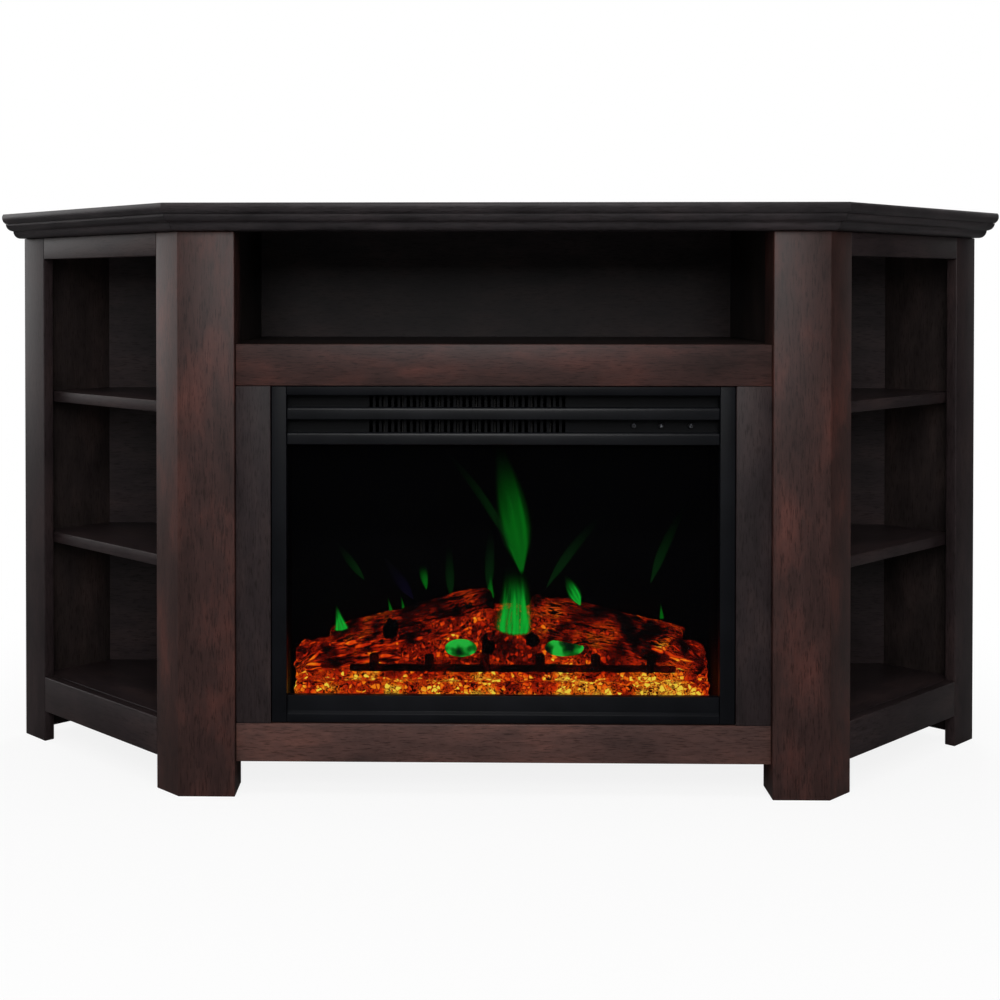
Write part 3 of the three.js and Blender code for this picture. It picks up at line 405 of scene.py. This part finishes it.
def front_faces(piece):
    """Selects, for edit mode, the faces that look to the front."""
    for polygon in piece.data.polygons:
        polygon.select = polygon.normal.y < -0.99


def button_peg(node):
    low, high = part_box(node)
    middle = (low + high) / 2
    bpy.ops.object.select_all(action="DESELECT")
    bpy.ops.mesh.primitive_cylinder_add(
        vertices=48, radius=(high.x - low.x) / 2, depth=high.y - low.y, location=middle,
        rotation=(math.radians(90), 0, 0))
    peg = bpy.context.object
    peg.name = f"{node}_finished"
    settle(peg)
    apply_modifier(peg, "BEVEL", width=0.5 * MM, segments=3, limit_method="ANGLE")
    front_faces(peg)
    bpy.ops.object.mode_set(mode="EDIT")
    bpy.ops.mesh.select_mode(type="FACE")
    bpy.ops.mesh.inset(thickness=0.5 * MM)
    bpy.ops.transform.translate(value=(0, DISH_DEPTH, 0))
    bpy.ops.object.mode_set(mode="OBJECT")
    dress(peg, moulded_plastic, node)
    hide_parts(node)
    return Vector((middle.x, low.y + DISH_DEPTH, middle.z))


sign_paint = plain_finish("pale_grey_sign_paint", ("#5c5f66", "#686b72"), 0.6)


def join_as(name, parts):
    select_only(parts[0])
    for part in parts[1:]:
        part.select_set(True)
    if len(parts) > 1:
        bpy.ops.object.join()
    joined = bpy.context.object
    joined.name = name
    settle(joined)
    return joined


def sign_bar(centre, width_mm, height_mm):
    bpy.ops.object.select_all(action="DESELECT")
    bpy.ops.mesh.primitive_cube_add(size=1, location=centre)
    bar = bpy.context.object
    bar.scale = (width_mm * MM, SIGN_RELIEF, height_mm * MM)
    settle(bar)
    apply_modifier(bar, "BEVEL", width=0.05 * MM, segments=1, limit_method="ANGLE")
    return bar


def sign_ring(centre, radius_mm):
    bpy.ops.object.select_all(action="DESELECT")
    bpy.ops.mesh.primitive_torus_add(
        major_radius=radius_mm * MM, minor_radius=SIGN_RELIEF, major_segments=32,
        minor_segments=6, location=centre, rotation=(math.radians(90), 0, 0))
    ring = bpy.context.object
    settle(ring)
    return ring


def sign_drop(centre):
    bpy.ops.object.select_all(action="DESELECT")
    bpy.ops.mesh.primitive_cone_add(
        vertices=24, radius1=1.5 * MM, radius2=0.05 * MM, depth=4 * MM, location=centre)
    drop = bpy.context.object
    drop.scale.y = 0.08
    settle(drop)
    return drop


face = button_peg("power_button")
signs = {"power_button": [sign_ring(face, 1.8), sign_bar(face + Vector((0, 0, 1.6 * MM)), 0.5, 2)]}
signs["flame_button"] = [sign_drop(button_peg("flame_button"))]
face = button_peg("heat_button")
signs["heat_button"] = [sign_bar(face + Vector((0, 0, rise * MM)), width, 0.6)
                        for rise, width in ((-1.6, 4.4), (0, 3.2), (1.6, 2))]
for button, parts in signs.items():
    sign = join_as(button.replace("button", "sign"), parts)
    dress(sign, sign_paint, button)
print("buttons and signs made")

# %% [markdown]
# **Embers.** The log set is a translucent resin moulding with lamps under it. Light leaks
# through wherever the resin is thin, so bright threads and specks of yellow and orange run
# between dark lumps, hottest along the front foot and fading to deep red up the logs. A noise
# folded about its middle gives the threads, and warped cells, some lit and some black, give
# the crushed coals. A slower noise says where it burns hot, the height fades it, and it is
# brightest over the lamps, which stand at an even pitch.

# %% Ember and bark finishes
HEAT = [(0.0, "#000000"), (0.1, "#120101"), (0.24, "#5c0a03"), (0.42, "#c02406"),
        (0.62, "#f04c0b"), (0.84, "#ff9016"), (1.0, "#ffdc44")]


def folded_noise(tree, place, detail_mm, sharpness):
    """Bright threads: 1 on the fold of a noise, 0 away from it. Also gives the plain noise."""
    field = add(tree, "ShaderNodeTexNoise", {
        "Vector": place, "Scale": per_metre(detail_mm), "Detail": 8, "Roughness": 0.72,
        "Distortion": 1.6}).outputs["Fac"]
    fold = calculated(tree, "ABSOLUTE", calculated(tree, "SUBTRACT", field, 0.5))
    peak = calculated(tree, "MULTIPLY_ADD", fold, -sharpness, 1.0, clamp=True)
    return remapped(tree, peak, (0.15, 0.9), (0, 1), smooth=True), field


def crushed_coals(tree, place, coal_mm):
    """Bright angular flakes among black ones, as crushed coals lit from below."""
    warp = add(tree, "ShaderNodeTexNoise", {
        "Vector": place, "Scale": per_metre(coal_mm), "Detail": 3}).outputs["Color"]
    shift = add(tree, "ShaderNodeVectorMath", {0: warp, 1: (coal_mm * MM,) * 3},
                operation="MULTIPLY").outputs["Vector"]
    uneven = add(tree, "ShaderNodeVectorMath", {0: place, 1: shift},
                 operation="ADD").outputs["Vector"]
    cells = {"Vector": uneven, "Scale": per_metre(coal_mm)}
    tone = add(tree, "ShaderNodeTexVoronoi", cells).outputs["Color"]
    tone = add(tree, "ShaderNodeSeparateColor", {"Color": tone}).outputs["Red"]
    lit = remapped(tree, tone, (0.3, 0.9), (0, 1))
    edge = add(tree, "ShaderNodeTexVoronoi", cells, feature="DISTANCE_TO_EDGE").outputs["Distance"]
    inside = remapped(tree, edge, (0.02, 0.16), (0.1, 1.0), smooth=True)
    return calculated(tree, "MULTIPLY", lit, inside)


LAMP_PITCH, FIRST_LAMP = 125 * MM, -175 * MM
PATCH_MM = 34


def heat_zone(tree, place, hot_z, cool_z, hot, cool, dullest):
    """Hottest low down and over each lamp, cooler higher up, and uneven from place to place.

    hot at the height hot_z and below, cool at cool_z and above, both in millimetres; dullest is
    the share of it that a dull patch keeps.
    """
    axes = add(tree, "ShaderNodeSeparateXYZ", {"Vector": place}).outputs
    fade = remapped(tree, axes["Z"], (hot_z * MM, cool_z * MM), (hot, cool))
    turns = 2 * math.pi / LAMP_PITCH
    phase = calculated(tree, "MULTIPLY_ADD", axes["X"], turns, -turns * FIRST_LAMP)
    over_lamp = remapped(tree, calculated(tree, "COSINE", phase), (-1.0, 1.0), (0.8, 1.15))
    drift = add(tree, "ShaderNodeTexNoise", {
        "Vector": place, "Scale": per_metre(PATCH_MM), "Detail": 3}).outputs["Fac"]
    patchy = remapped(tree, drift, (0.38, 0.62), (dullest, 1.2))
    return calculated(tree, "MULTIPLY", calculated(tree, "MULTIPLY", fade, over_lamp), patchy)


GLOW = 2.4          # lamp light seen through the half-dark glass
EMBER_GLOW = 3.0    # the resin, which is closer to its lamps


def lit_resin(name, thread_mm, sharpness, coal_mm, heat, along_bark=0.0):
    material, tree = blank_material(name)
    place = add(tree, "ShaderNodeTexCoord").outputs["Object"]
    own = place
    if along_bark:
        own = add(tree, "ShaderNodeMapping", {
            "Vector": add(tree, "ShaderNodeAttribute", attribute_name="bark").outputs["Vector"],
            "Scale": (1, 1, along_bark)}, vector_type="TEXTURE").outputs["Vector"]
    threads, field = folded_noise(tree, own, thread_mm, sharpness)
    burning = threads
    if coal_mm:
        coals = crushed_coals(tree, own, coal_mm)
        part_threads = calculated(tree, "MULTIPLY", threads, 0.6)
        burning = calculated(tree, "MAXIMUM", coals, part_threads)
    zone = heat_zone(tree, place, *heat)
    hotness = calculated(tree, "MULTIPLY", burning, zone, clamp=True)
    light = colour_ramp(tree, hotness, HEAT)
    char = colour_ramp(tree, field, [(0.3, "#080504"), (0.7, "#1d100b")])
    bump = add(tree, "ShaderNodeBump", {"Strength": 0.5, "Distance": 0.002, "Height": field})
    resin = add(tree, "ShaderNodeBsdfPrincipled", {
        "Base Color": char, "Roughness": 0.75, "Specular IOR Level": 0.2,
        "Emission Color": light, "Emission Strength": EMBER_GLOW, "Normal": bump.outputs["Normal"]})
    add(tree, "ShaderNodeOutputMaterial", {"Surface": resin.outputs["BSDF"]})
    return material


ember_resin = lit_resin("lit_ember_resin", 8, 15.0, 6, (124, 160, 1.7, 0.72, 0.5))
bark_resin = lit_resin("lit_bark_resin", 6, 24.0, 0, (165, 260, 0.85, 0.34, 0.12), along_bark=7)
low_bark_resin = lit_resin("hot_bark_resin", 6, 20.0, 5, (150, 225, 0.95, 0.45, 0.15), along_bark=4)
# The grate has no lamp of its own: its faint red glow is painted ember light.
grate_with_painted_glow = lit_resin("charred_grate_with_painted_ember_glow", 12, 12.0, 0, (100, 210, 0.17, 0.13, 0.15))
charred_resin = plain_finish("charred_resin", ("#060404", "#150b08"), 0.8, detail_mm=8,
                             Specular_IOR_Level=0.15)

# %% [markdown]
# **The ember bed.** It is one moulding with a lumpy surface. A voxel remesh of the plain solid
# gives an even skin of small faces, and two noises push that skin into lumps: cells for the
# coals and a cloud noise for the slower swell. The lumps only push inwards and a little out,
# so the bed stays off the glass.

# %% Model the ember bed and the grate
def lumpy(node, voxel_mm, cell_mm, depth_mm, material):
    piece = clean_copy(node)
    apply_modifier(piece, "REMESH", mode="VOXEL", voxel_size=voxel_mm * MM)
    outwards = [vertex.normal.copy() for vertex in piece.data.vertices]
    for vertex, out in zip(piece.data.vertices, outwards):
        place = vertex.co / (cell_mm * MM)
        cells = noise.voronoi(place)[0][0]
        swell = noise.fractal(place * 0.35, 0.8, 2.0, 3)
        vertex.co += out * depth_mm * MM * (0.55 - cells + 0.5 * swell)
    dress(piece, material, smooth_below=70)
    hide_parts(node)
    return piece


ember_bed = lumpy("ember_bed", 2.6, 11, 4.5, ember_resin)
grate_low, grate_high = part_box("fire_grate")
BAR_HEIGHT, BAR_BELOW_TOP, STUB_RADIUS = 9 * MM, 18.5 * MM, 6.2 * MM
STUBS, STUB_PITCH = 6, 72 * MM
bar_z = grate_high.z - BAR_BELOW_TOP
middle_x, middle_y = (grate_low.x + grate_high.x) / 2, (grate_low.y + grate_high.y) / 2


def grate_bar():
    bpy.ops.object.select_all(action="DESELECT")
    bpy.ops.mesh.primitive_cube_add(
        size=1, location=(middle_x, middle_y, bar_z))
    bar = bpy.context.object
    bar.scale = (grate_high.x - grate_low.x, grate_high.y - grate_low.y, BAR_HEIGHT)
    settle(bar)
    apply_modifier(bar, "BEVEL", width=2.5 * MM, segments=3, limit_method="ANGLE")
    return bar


def grate_stub(x):
    """A stubby peg with a domed top, standing through the bar."""
    foot, top = bar_z - BAR_HEIGHT / 2, grate_high.z
    bpy.ops.object.select_all(action="DESELECT")
    bpy.ops.mesh.primitive_cylinder_add(
        vertices=24, radius=STUB_RADIUS, depth=top - foot, location=(x, middle_y, (top + foot) / 2))
    stub = bpy.context.object
    settle(stub)
    apply_modifier(stub, "BEVEL", width=3 * MM, segments=4, limit_method="ANGLE")
    return stub


parts = [grate_bar()] + [grate_stub(middle_x + (i - (STUBS - 1) / 2) * STUB_PITCH)
                         for i in range(STUBS)]
grate = join_as("fire_grate_finished", parts)
apply_modifier(grate, "REMESH", mode="VOXEL", voxel_size=1.2 * MM)
for vertex in grate.data.vertices:
    vertex.co += Vector((0, 0.2, 1)) * MM * 1.4 * noise.fractal(vertex.co / (16 * MM), 0.8, 2.0, 3)
# The grate's faint red glow is painted ember light falling on it.
dress(grate, grate_with_painted_glow, smooth_below=75)
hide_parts("fire_grate")
print("ember bed:", len(ember_bed.data.polygons), "faces")

# %% [markdown]
# **Logs.** Each log is a cylinder given bark: a remesh makes its skin even, then grooves that
# run along the log push its skin in. The grooves come from a noise stretched along the log's
# own axis. The same unturned place is kept on the mesh as an attribute, so that the glow in
# the cracks follows the log after it has been laid in the fire.

# %% Model the logs
GROOVE_WIDTH, KNOT_WIDTH = 5 * MM, 19 * MM


def bark_log(name, start, end, radius_mm, seed, material):
    start, end = Vector(start) * MM, Vector(end) * MM
    length = (end - start).length
    bpy.ops.object.select_all(action="DESELECT")
    bpy.ops.mesh.primitive_cylinder_add(vertices=32, radius=radius_mm * MM, depth=length)
    log = bpy.context.object
    log.name = name
    apply_modifier(log, "BEVEL", width=0.5 * radius_mm * MM, segments=3, limit_method="ANGLE")
    apply_modifier(log, "REMESH", mode="VOXEL", voxel_size=1.9 * MM)
    grain = log.data.attributes.new("bark", "FLOAT_VECTOR", "POINT")
    for index, vertex in enumerate(log.data.vertices):
        place = vertex.co.copy()
        grain.data[index].vector = place + Vector((0, 0, seed * 0.13))
        shifted = Vector((place.x, place.y, place.z * 0.16 + seed)) / GROOVE_WIDTH
        groove = noise.fractal(shifted, 0.9, 2.1, 4)
        knot = noise.noise(Vector((place.x, place.y, place.z * 0.5 + seed)) / KNOT_WIDTH)
        out = Vector((place.x, place.y, 0)).normalized()
        vertex.co += out * MM * (2.1 * groove + 2.6 * knot - 1.0)
    turn = Vector((0, 0, 1)).rotation_difference(end - start).to_matrix().to_4x4()
    log.data.transform(Matrix.Translation((start + end) / 2) @ turn)
    log.matrix_world = Matrix()
    dress(log, material, smooth_below=75)
    return log


FRONT_Y = -157.5      # where the cabinet's front face stands in the frame, in millimetres


def in_fire(x, depth, z):
    """A point in millimetres, its depth measured back from the cabinet's front face."""
    return (x, depth + FRONT_Y, z)


upper_left = bark_log("log_left_finished", in_fire(-224, 80, 184), in_fire(-10, 92, 236), 17, 1,
                      bark_resin)
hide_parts("log_left")
upper_right = bark_log("log_right_finished", in_fire(238, 80, 187), in_fire(39, 88, 229), 16, 2,
                       bark_resin)
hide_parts("log_right")
SMALL_LOGS = [
    ("log_left_middle", in_fire(-240, 66, 168), in_fire(-40, 72, 204), 12, low_bark_resin),
    ("log_left_low", in_fire(-258, 60, 152), in_fire(-130, 62, 168), 9, low_bark_resin),
    ("log_left_crossing", in_fire(-112, 74, 190), in_fire(-14, 76, 226), 9, bark_resin),
    ("log_right_middle", in_fire(36, 72, 213), in_fire(244, 70, 172), 11, bark_resin),
    ("log_right_lower", in_fire(42, 64, 198), in_fire(190, 62, 174), 9, bark_resin),
    ("log_right_low", in_fire(150, 60, 182), in_fire(262, 60, 154), 11, low_bark_resin),
    ("log_right_back", in_fire(70, 96, 233), in_fire(244, 92, 192), 8, bark_resin),
    ("log_left_back", in_fire(-130, 98, 216), in_fire(-34, 100, 241), 8, bark_resin),
    ("rubble_left", in_fire(-268, 66, 146), in_fire(-226, 68, 176), 12, low_bark_resin),
    ("rubble_right", in_fire(222, 74, 186), in_fire(264, 64, 150), 13, low_bark_resin),
    ("log_upright_dark", in_fire(-20, 62, 168), in_fire(-14, 78, 238), 7, charred_resin),
]
for seed, (name, start, end, radius, material) in enumerate(SMALL_LOGS, start=3):
    bark_log(name, start, end, radius, seed, material)
LOG_ENDS = [
    ("log_end_left", in_fire(-146, 50, 199), in_fire(-144, 84, 203), 11.5),
    ("log_end_middle", in_fire(-15, 50, 178), in_fire(-14, 84, 184), 9),
    ("log_end_right", in_fire(41, 50, 188), in_fire(42, 84, 194), 10.5),
]
for seed, (name, start, end, radius) in enumerate(LOG_ENDS, start=13):
    bark_log(name, start, end, radius, seed, charred_resin)
print("logs:", 2 + len(SMALL_LOGS) + len(LOG_ENDS))

# %% [markdown]
# **Flames.** They are reflections of a lamp thrown on the smoked screen by the turning spindle,
# so they have no thickness: soft green tongues, bright at the foot, fading at the tip and the
# edges. Each is a grid drawn into a tongue, standing just before the screen, and its own UV map
# carries the fade: U runs across the tongue and V up it.

# %% Flame light
def flame_light(name, deep, bright, strength, fade_from=0.1, between_streaks=0.55):
    material, tree = blank_material(name)
    place = add(tree, "ShaderNodeUVMap").outputs["UV"]
    split = add(tree, "ShaderNodeSeparateXYZ", {"Vector": place})
    u, v = split.outputs["X"], split.outputs["Y"]
    aside = calculated(tree, "ABSOLUTE", calculated(tree, "MULTIPLY_ADD", u, 2.0, -1.0))
    body = remapped(tree, aside, (0.45, 1.0), (1, 0), smooth=True)
    upward = remapped(tree, v, (fade_from, 1.0), (1, 0), smooth=True)
    foot = remapped(tree, v, (0, 0.04), (0, 1))
    stretched = add(tree, "ShaderNodeMapping", {"Vector": place, "Scale": (7, 1.2, 1)})
    streaks = add(tree, "ShaderNodeTexNoise", {
        "Vector": stretched.outputs["Vector"], "Scale": 1.0, "Detail": 2}).outputs["Fac"]
    uneven = remapped(tree, streaks, (0.3, 0.7), (between_streaks, 1.15))
    soft = calculated(tree, "MULTIPLY", calculated(tree, "MULTIPLY", body, upward), foot)
    soft = calculated(tree, "MULTIPLY", soft, uneven, clamp=True)
    seen = calculated(tree, "MULTIPLY", soft, strength, clamp=True)
    colour = colour_ramp(tree, soft, [(0.0, deep), (0.75, bright)])
    light = add(tree, "ShaderNodeBsdfPrincipled", {
        "Base Color": linear("#000000"), "Roughness": 1.0, "Specular IOR Level": 0.0,
        "Emission Color": colour, "Emission Strength": GLOW, "Alpha": seen})
    add(tree, "ShaderNodeOutputMaterial", {"Surface": light.outputs["BSDF"]})
    return material


bright_green = flame_light("bright_green_flame_light", "#04500c", "#16c93a", 2.0, fade_from=0.12,
                           between_streaks=0.12)
mid_green = flame_light("green_flame_light", "#03400a", "#0a7d1a", 0.85, fade_from=0.25)
faint_green = flame_light("faint_green_flame_light", "#06300a", "#0f4417", 0.42)
faint_violet = flame_light("faint_violet_flame_light", "#08061c", "#17112f", 0.4)

screen_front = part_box("flame_screen")[0].y
FLAME_ROWS, SCREEN_GAP = 30, 1.5 * MM
LEAF = (0.04, 0.42, 0.8, 0.98, 1.0, 0.93, 0.8, 0.62, 0.4, 0.12)       # pointed at both ends
SKIRT = (0.94, 1.0, 0.95, 0.88, 0.8, 0.74, 0.69, 0.64, 0.58, 0.5)    # wide foot, narrower top
DROP = (0.1, 0.35, 0.6, 0.8, 0.93, 1.0, 1.0, 0.92, 0.72, 0.3)         # pointed foot, round top
SPIKE = (1.0, 0.86, 0.72, 0.58, 0.46, 0.35, 0.25, 0.17, 0.1, 0.04)    # wide foot, pointed top


def at_height(profile, v):
    place = v * (len(profile) - 1)
    low = min(int(place), len(profile) - 2)
    return profile[low] + (profile[low + 1] - profile[low]) * (place - low)


def flame(name, foot, tip, width_mm, profile, material, sway=0.0, depth_mm=None):
    """A tongue from foot to tip, each (x, z) in millimetres. A blunt foot gets a wavy edge."""
    bpy.ops.object.select_all(action="DESELECT")
    bpy.ops.mesh.primitive_grid_add(x_subdivisions=10, y_subdivisions=FLAME_ROWS, size=1)
    tongue = bpy.context.object
    tongue.name = name
    foot, tip = Vector(foot) * MM, Vector(tip) * MM
    run = tip - foot
    across = Vector((run.y, -run.x)).normalized()
    y = screen_front - SCREEN_GAP if depth_mm is None else (depth_mm + FRONT_Y) * MM
    for vertex in tongue.data.vertices:
        u, v = vertex.co.x, vertex.co.y + 0.5
        bend = sway * MM * math.sin(math.pi * v)
        point = foot + run * v + across * (u * width_mm * MM * at_height(profile, v) + bend)
        if profile[0] > 0.5:
            point.y -= 0.12 * width_mm * MM * (math.cos(math.pi * u) + 0.6 * u) * (1 - v) ** 4
        vertex.co = (point.x, y, point.y)
    dress(tongue, material, smooth_below=60)
    return tongue


FLAMES = [
    ("flame_middle", (15, 202), (17, 284), 56, SKIRT, bright_green, 2, 52),
    ("flame_plume", (30, 262), (-2, 440), 48, LEAF, mid_green, 3, None),
    ("flame_plume_left", (-13, 232), (-12, 270), 15, SPIKE, mid_green, 0, None),
    ("flame_streak_plume_left", (-15, 236), (-12, 328), 16, LEAF, faint_green, 0, None),
    ("flame_left_foot", (-209, 202), (-217, 236), 24, SPIKE, bright_green, 0, 60),
    ("flame_left_drop", (-99, 242), (-105, 276), 13, DROP, mid_green, 0, None),
    ("flame_right_foot", (104, 232), (84, 272), 19, LEAF, bright_green, 0, 68),
    ("flame_small_left", (-146, 210), (-152, 234), 8, SPIKE, mid_green, 0, None),
    ("flame_small_left_b", (-129, 212), (-134, 236), 7, SPIKE, mid_green, 0, None),
    ("flame_small_right", (218, 204), (216, 228), 8, SPIKE, mid_green, 0, None),
    ("flame_streak_left", (18, 296), (-76, 432), 14, LEAF, faint_green, 6, None),
    ("flame_streak_middle", (-66, 230), (-69, 308), 15, LEAF, faint_green, 0, None),
    ("flame_streak_far_left", (-182, 254), (-222, 306), 13, LEAF, faint_green, 0, None),
    ("flame_streak_right", (62, 244), (142, 348), 16, LEAF, faint_green, -4, None),
    ("flame_streak_far_right", (202, 250), (250, 358), 16, LEAF, faint_green, -3, None),
    ("flame_violet", (-116, 228), (-156, 284), 18, LEAF, faint_violet, 0, None),
]
for name, foot, tip, width, profile, material, sway, depth_mm in FLAMES:
    flame(name, foot, tip, width, profile, material, sway, depth_mm)
print("flames:", len(FLAMES))

# %% [markdown]
# **Green windows.** Two oval windows low in the log set let green lamp light straight through.
# Each is a flattened lens with a soft brightness drift, sunk in the bed inside a glowing rim.

# %% Model the green windows
def window_light(name):
    material, tree = blank_material(name)
    place = add(tree, "ShaderNodeTexCoord").outputs["Object"]
    drift = add(tree, "ShaderNodeTexNoise", {
        "Vector": place, "Scale": per_metre(26), "Detail": 2}).outputs["Fac"]
    colour = colour_ramp(tree, drift, [(0.4, "#01120a"), (0.49, "#0a6a18"), (0.57, "#28cf45")])
    lens = add(tree, "ShaderNodeBsdfPrincipled", {
        "Base Color": linear("#0c4a14"), "Roughness": 0.4, "Specular IOR Level": 0.2,
        "Emission Color": colour, "Emission Strength": GLOW})
    add(tree, "ShaderNodeOutputMaterial", {"Surface": lens.outputs["BSDF"]})
    return material


green_resin = window_light("green_lit_resin")
WINDOW_DEPTH_MM, LENS_BULGE, RIM_DEPTH = 59, 4 * MM, 14 * MM
WINDOWS = [("green_window_left", -53, 178, 22, 11.5), ("green_window_right", 82, 179, 27, 11.5)]
for name, x, z, half_width, half_height in WINDOWS:
    middle = Vector(in_fire(x, WINDOW_DEPTH_MM, z)) * MM
    bpy.ops.object.select_all(action="DESELECT")
    bpy.ops.mesh.primitive_uv_sphere_add(segments=40, ring_count=20, radius=1, location=middle)
    lens = bpy.context.object
    lens.name = name
    lens.scale = (half_width * MM, LENS_BULGE, half_height * MM)
    settle(lens)
    dress(lens, green_resin, smooth_below=60)
    bpy.ops.object.select_all(action="DESELECT")
    bpy.ops.mesh.primitive_torus_add(
        major_radius=1, minor_radius=0.16, major_segments=48, minor_segments=10,
        location=middle, rotation=(math.radians(90), 0, 0))
    rim = bpy.context.object
    rim.name = f"{name}_rim"
    bpy.ops.object.transform_apply(location=False, rotation=True, scale=False)
    rim.scale = ((half_width + 2) * MM, RIM_DEPTH, (half_height + 2.5) * MM)
    settle(rim)
    dress(rim, ember_resin, smooth_below=60)

# %% [markdown]
# **Fixings at the back.** The thin back is screwed on along its edges with small pan-head
# screws. Each head is a low dome.

# %% Model the back panel's screws
def pan_screw(name, centre):
    bpy.ops.object.select_all(action="DESELECT")
    bpy.ops.mesh.primitive_uv_sphere_add(segments=20, ring_count=10, radius=1, location=centre)
    head = bpy.context.object
    head.name = name
    head.scale = (3.2 * MM, 1.6 * MM, 3.2 * MM)
    settle(head)
    dress(head, zinc_screw, smooth_below=60)
    return head


back_low, back_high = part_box("back_panel")
SCREW_COLUMNS, SCREW_ROWS, SCREW_INSET = 7, 4, 22 * MM
first = back_low + Vector((SCREW_INSET, 0, SCREW_INSET))
last = back_high - Vector((SCREW_INSET, 0, SCREW_INSET))
for column in range(SCREW_COLUMNS):
    for row in range(SCREW_ROWS):
        if 0 < column < SCREW_COLUMNS - 1 and 0 < row < SCREW_ROWS - 1:
            continue      # the screws stand along the edges only
        x = first.x + (last.x - first.x) * column / (SCREW_COLUMNS - 1)
        z = first.z + (last.z - first.z) * row / (SCREW_ROWS - 1)
        pan_screw(f"back_screw_{column}_{row}", Vector((x, back_high.y, z)))

# %% [markdown]
# **Floor and room.** A plain pale floor carries the object and its soft shadow. Seen by the
# camera it is lifted towards white, so that it runs into the white room behind without a seam.
# The room is a white sweep behind the object and bright on its left, and dimmer in front of it,
# as in a photo studio, so glossy faces that look forwards mirror something darker. Two of its
# strengths are for mirrored rays, one for what the camera sees, and one for light on surfaces.

# %% Floor and room
bpy.ops.object.select_all(action="DESELECT")
bpy.ops.mesh.primitive_plane_add(size=40, location=(0, 0, 0))
floor = bpy.context.object
floor.name = "studio_floor"
floor_material, tree = blank_material("pale_studio_floor")
paint = add(tree, "ShaderNodeBsdfDiffuse", {"Color": linear("#f4f4f4")})
white = add(tree, "ShaderNodeEmission", {"Color": (1, 1, 1, 1), "Strength": 1.0})
ray = add(tree, "ShaderNodeLightPath")
from_middle = add(tree, "ShaderNodeVectorMath", {
    0: add(tree, "ShaderNodeTexCoord").outputs["Object"]}, operation="LENGTH").outputs["Value"]
whiter = remapped(tree, from_middle, (0.5, 1.3), (0.86, 1.0), smooth=True)
seen = calculated(tree, "MULTIPLY", ray.outputs["Is Camera Ray"], whiter)
dim = add(tree, "ShaderNodeBsdfDiffuse", {"Color": linear("#7a7a7a")})
lit = add(tree, "ShaderNodeMixShader", {
    0: ray.outputs["Is Glossy Ray"], 1: paint.outputs["BSDF"], 2: dim.outputs["BSDF"]})
mixed = add(tree, "ShaderNodeMixShader", {
    0: seen, 1: lit.outputs["Shader"], 2: white.outputs["Emission"]})
add(tree, "ShaderNodeOutputMaterial", {"Surface": mixed.outputs["Shader"]})
floor.data.materials.append(floor_material)

world = bpy.data.worlds.new("studio_room")
bpy.context.scene.world = world
world.use_nodes = True
tree = world.node_tree
tree.nodes.clear()
direction = add(tree, "ShaderNodeSeparateXYZ", {
    "Vector": add(tree, "ShaderNodeTexCoord").outputs["Generated"]})
behind = remapped(tree, direction.outputs["Y"], (0.35, 0.85), (0.06, 0.9), smooth=True)
leftwards = remapped(tree, direction.outputs["X"], (-0.35, -0.95), (0.0, 2.6), smooth=True)
room = calculated(tree, "MAXIMUM", behind, leftwards)
ray = add(tree, "ShaderNodeLightPath")
dimmer_right = remapped(tree, direction.outputs["X"], (-1.0, 1.0), (0.4, 0.08))
ambient = add(tree, "ShaderNodeBackground", {"Color": (1, 1, 1, 1), "Strength": dimmer_right})
sweep = add(tree, "ShaderNodeBackground", {"Color": (1, 1, 1, 1), "Strength": room})
backdrop = add(tree, "ShaderNodeBackground", {"Color": (1, 1, 1, 1), "Strength": 1.0})
mirrored = calculated(
    tree, "MAXIMUM", ray.outputs["Is Glossy Ray"], ray.outputs["Is Transmission Ray"])
unseen = add(tree, "ShaderNodeMixShader", {
    0: mirrored, 1: ambient.outputs[0], 2: sweep.outputs[0]})
shown = add(tree, "ShaderNodeMixShader", {
    0: ray.outputs["Is Camera Ray"], 1: unseen.outputs[0], 2: backdrop.outputs[0]})
add(tree, "ShaderNodeOutputWorld", {"Surface": shown.outputs[0]})

# %% [markdown]
# **Lamps.** A large soft box stands high in front, one hangs overhead, and one lights the back.
# The room's own light comes more from the left, so the left side faces are the brighter ones.

# %% Lamps
def soft_box(name, place, target, width, height, watts):
    lamp = bpy.data.lights.new(name, "AREA")
    lamp.shape = "RECTANGLE"
    lamp.size, lamp.size_y, lamp.energy = width, height, watts
    holder = bpy.data.objects.new(name, lamp)
    holder.location = place
    holder.rotation_euler = (Vector(target) - Vector(place)).to_track_quat("-Z", "Y").to_euler()
    bpy.context.scene.collection.objects.link(holder)


soft_box("key_soft_box", (0.0, -3.3, 2.0), (0, 0, 0.4), 1.8, 2.0, 86)
soft_box("top_soft_box", (0.0, -0.6, 3.2), (0, 0, 0.4), 2.4, 1.6, 35)
soft_box("back_soft_box", (0.8, 3.4, 2.0), (0, 0, 0.4), 1.8, 2.0, 50)

# %% [markdown]
# **Camera.** It stands a little left of the middle, level with the niche, and looks almost
# straight on, so the upright edges stay upright. The framing comes from shifting the lens, as
# an architect's camera does.

# %% Camera
camera_data = bpy.data.cameras.new("camera")
camera_data.lens = 54.43
camera_data.sensor_width = 36
camera_data.shift_x = 0.0802
camera_data.shift_y = -0.1877
camera = bpy.data.objects.new("camera", camera_data)
camera.location = (-67.2 * MM, (-1913.4 + FRONT_Y) * MM, 642.4 * MM)
camera.rotation_euler = Vector((-0.02, 1, -0.0129)).to_track_quat("-Z", "Y").to_euler()
bpy.context.scene.collection.objects.link(camera)
bpy.context.scene.camera = camera
bpy.context.scene.view_settings.view_transform = "Standard"
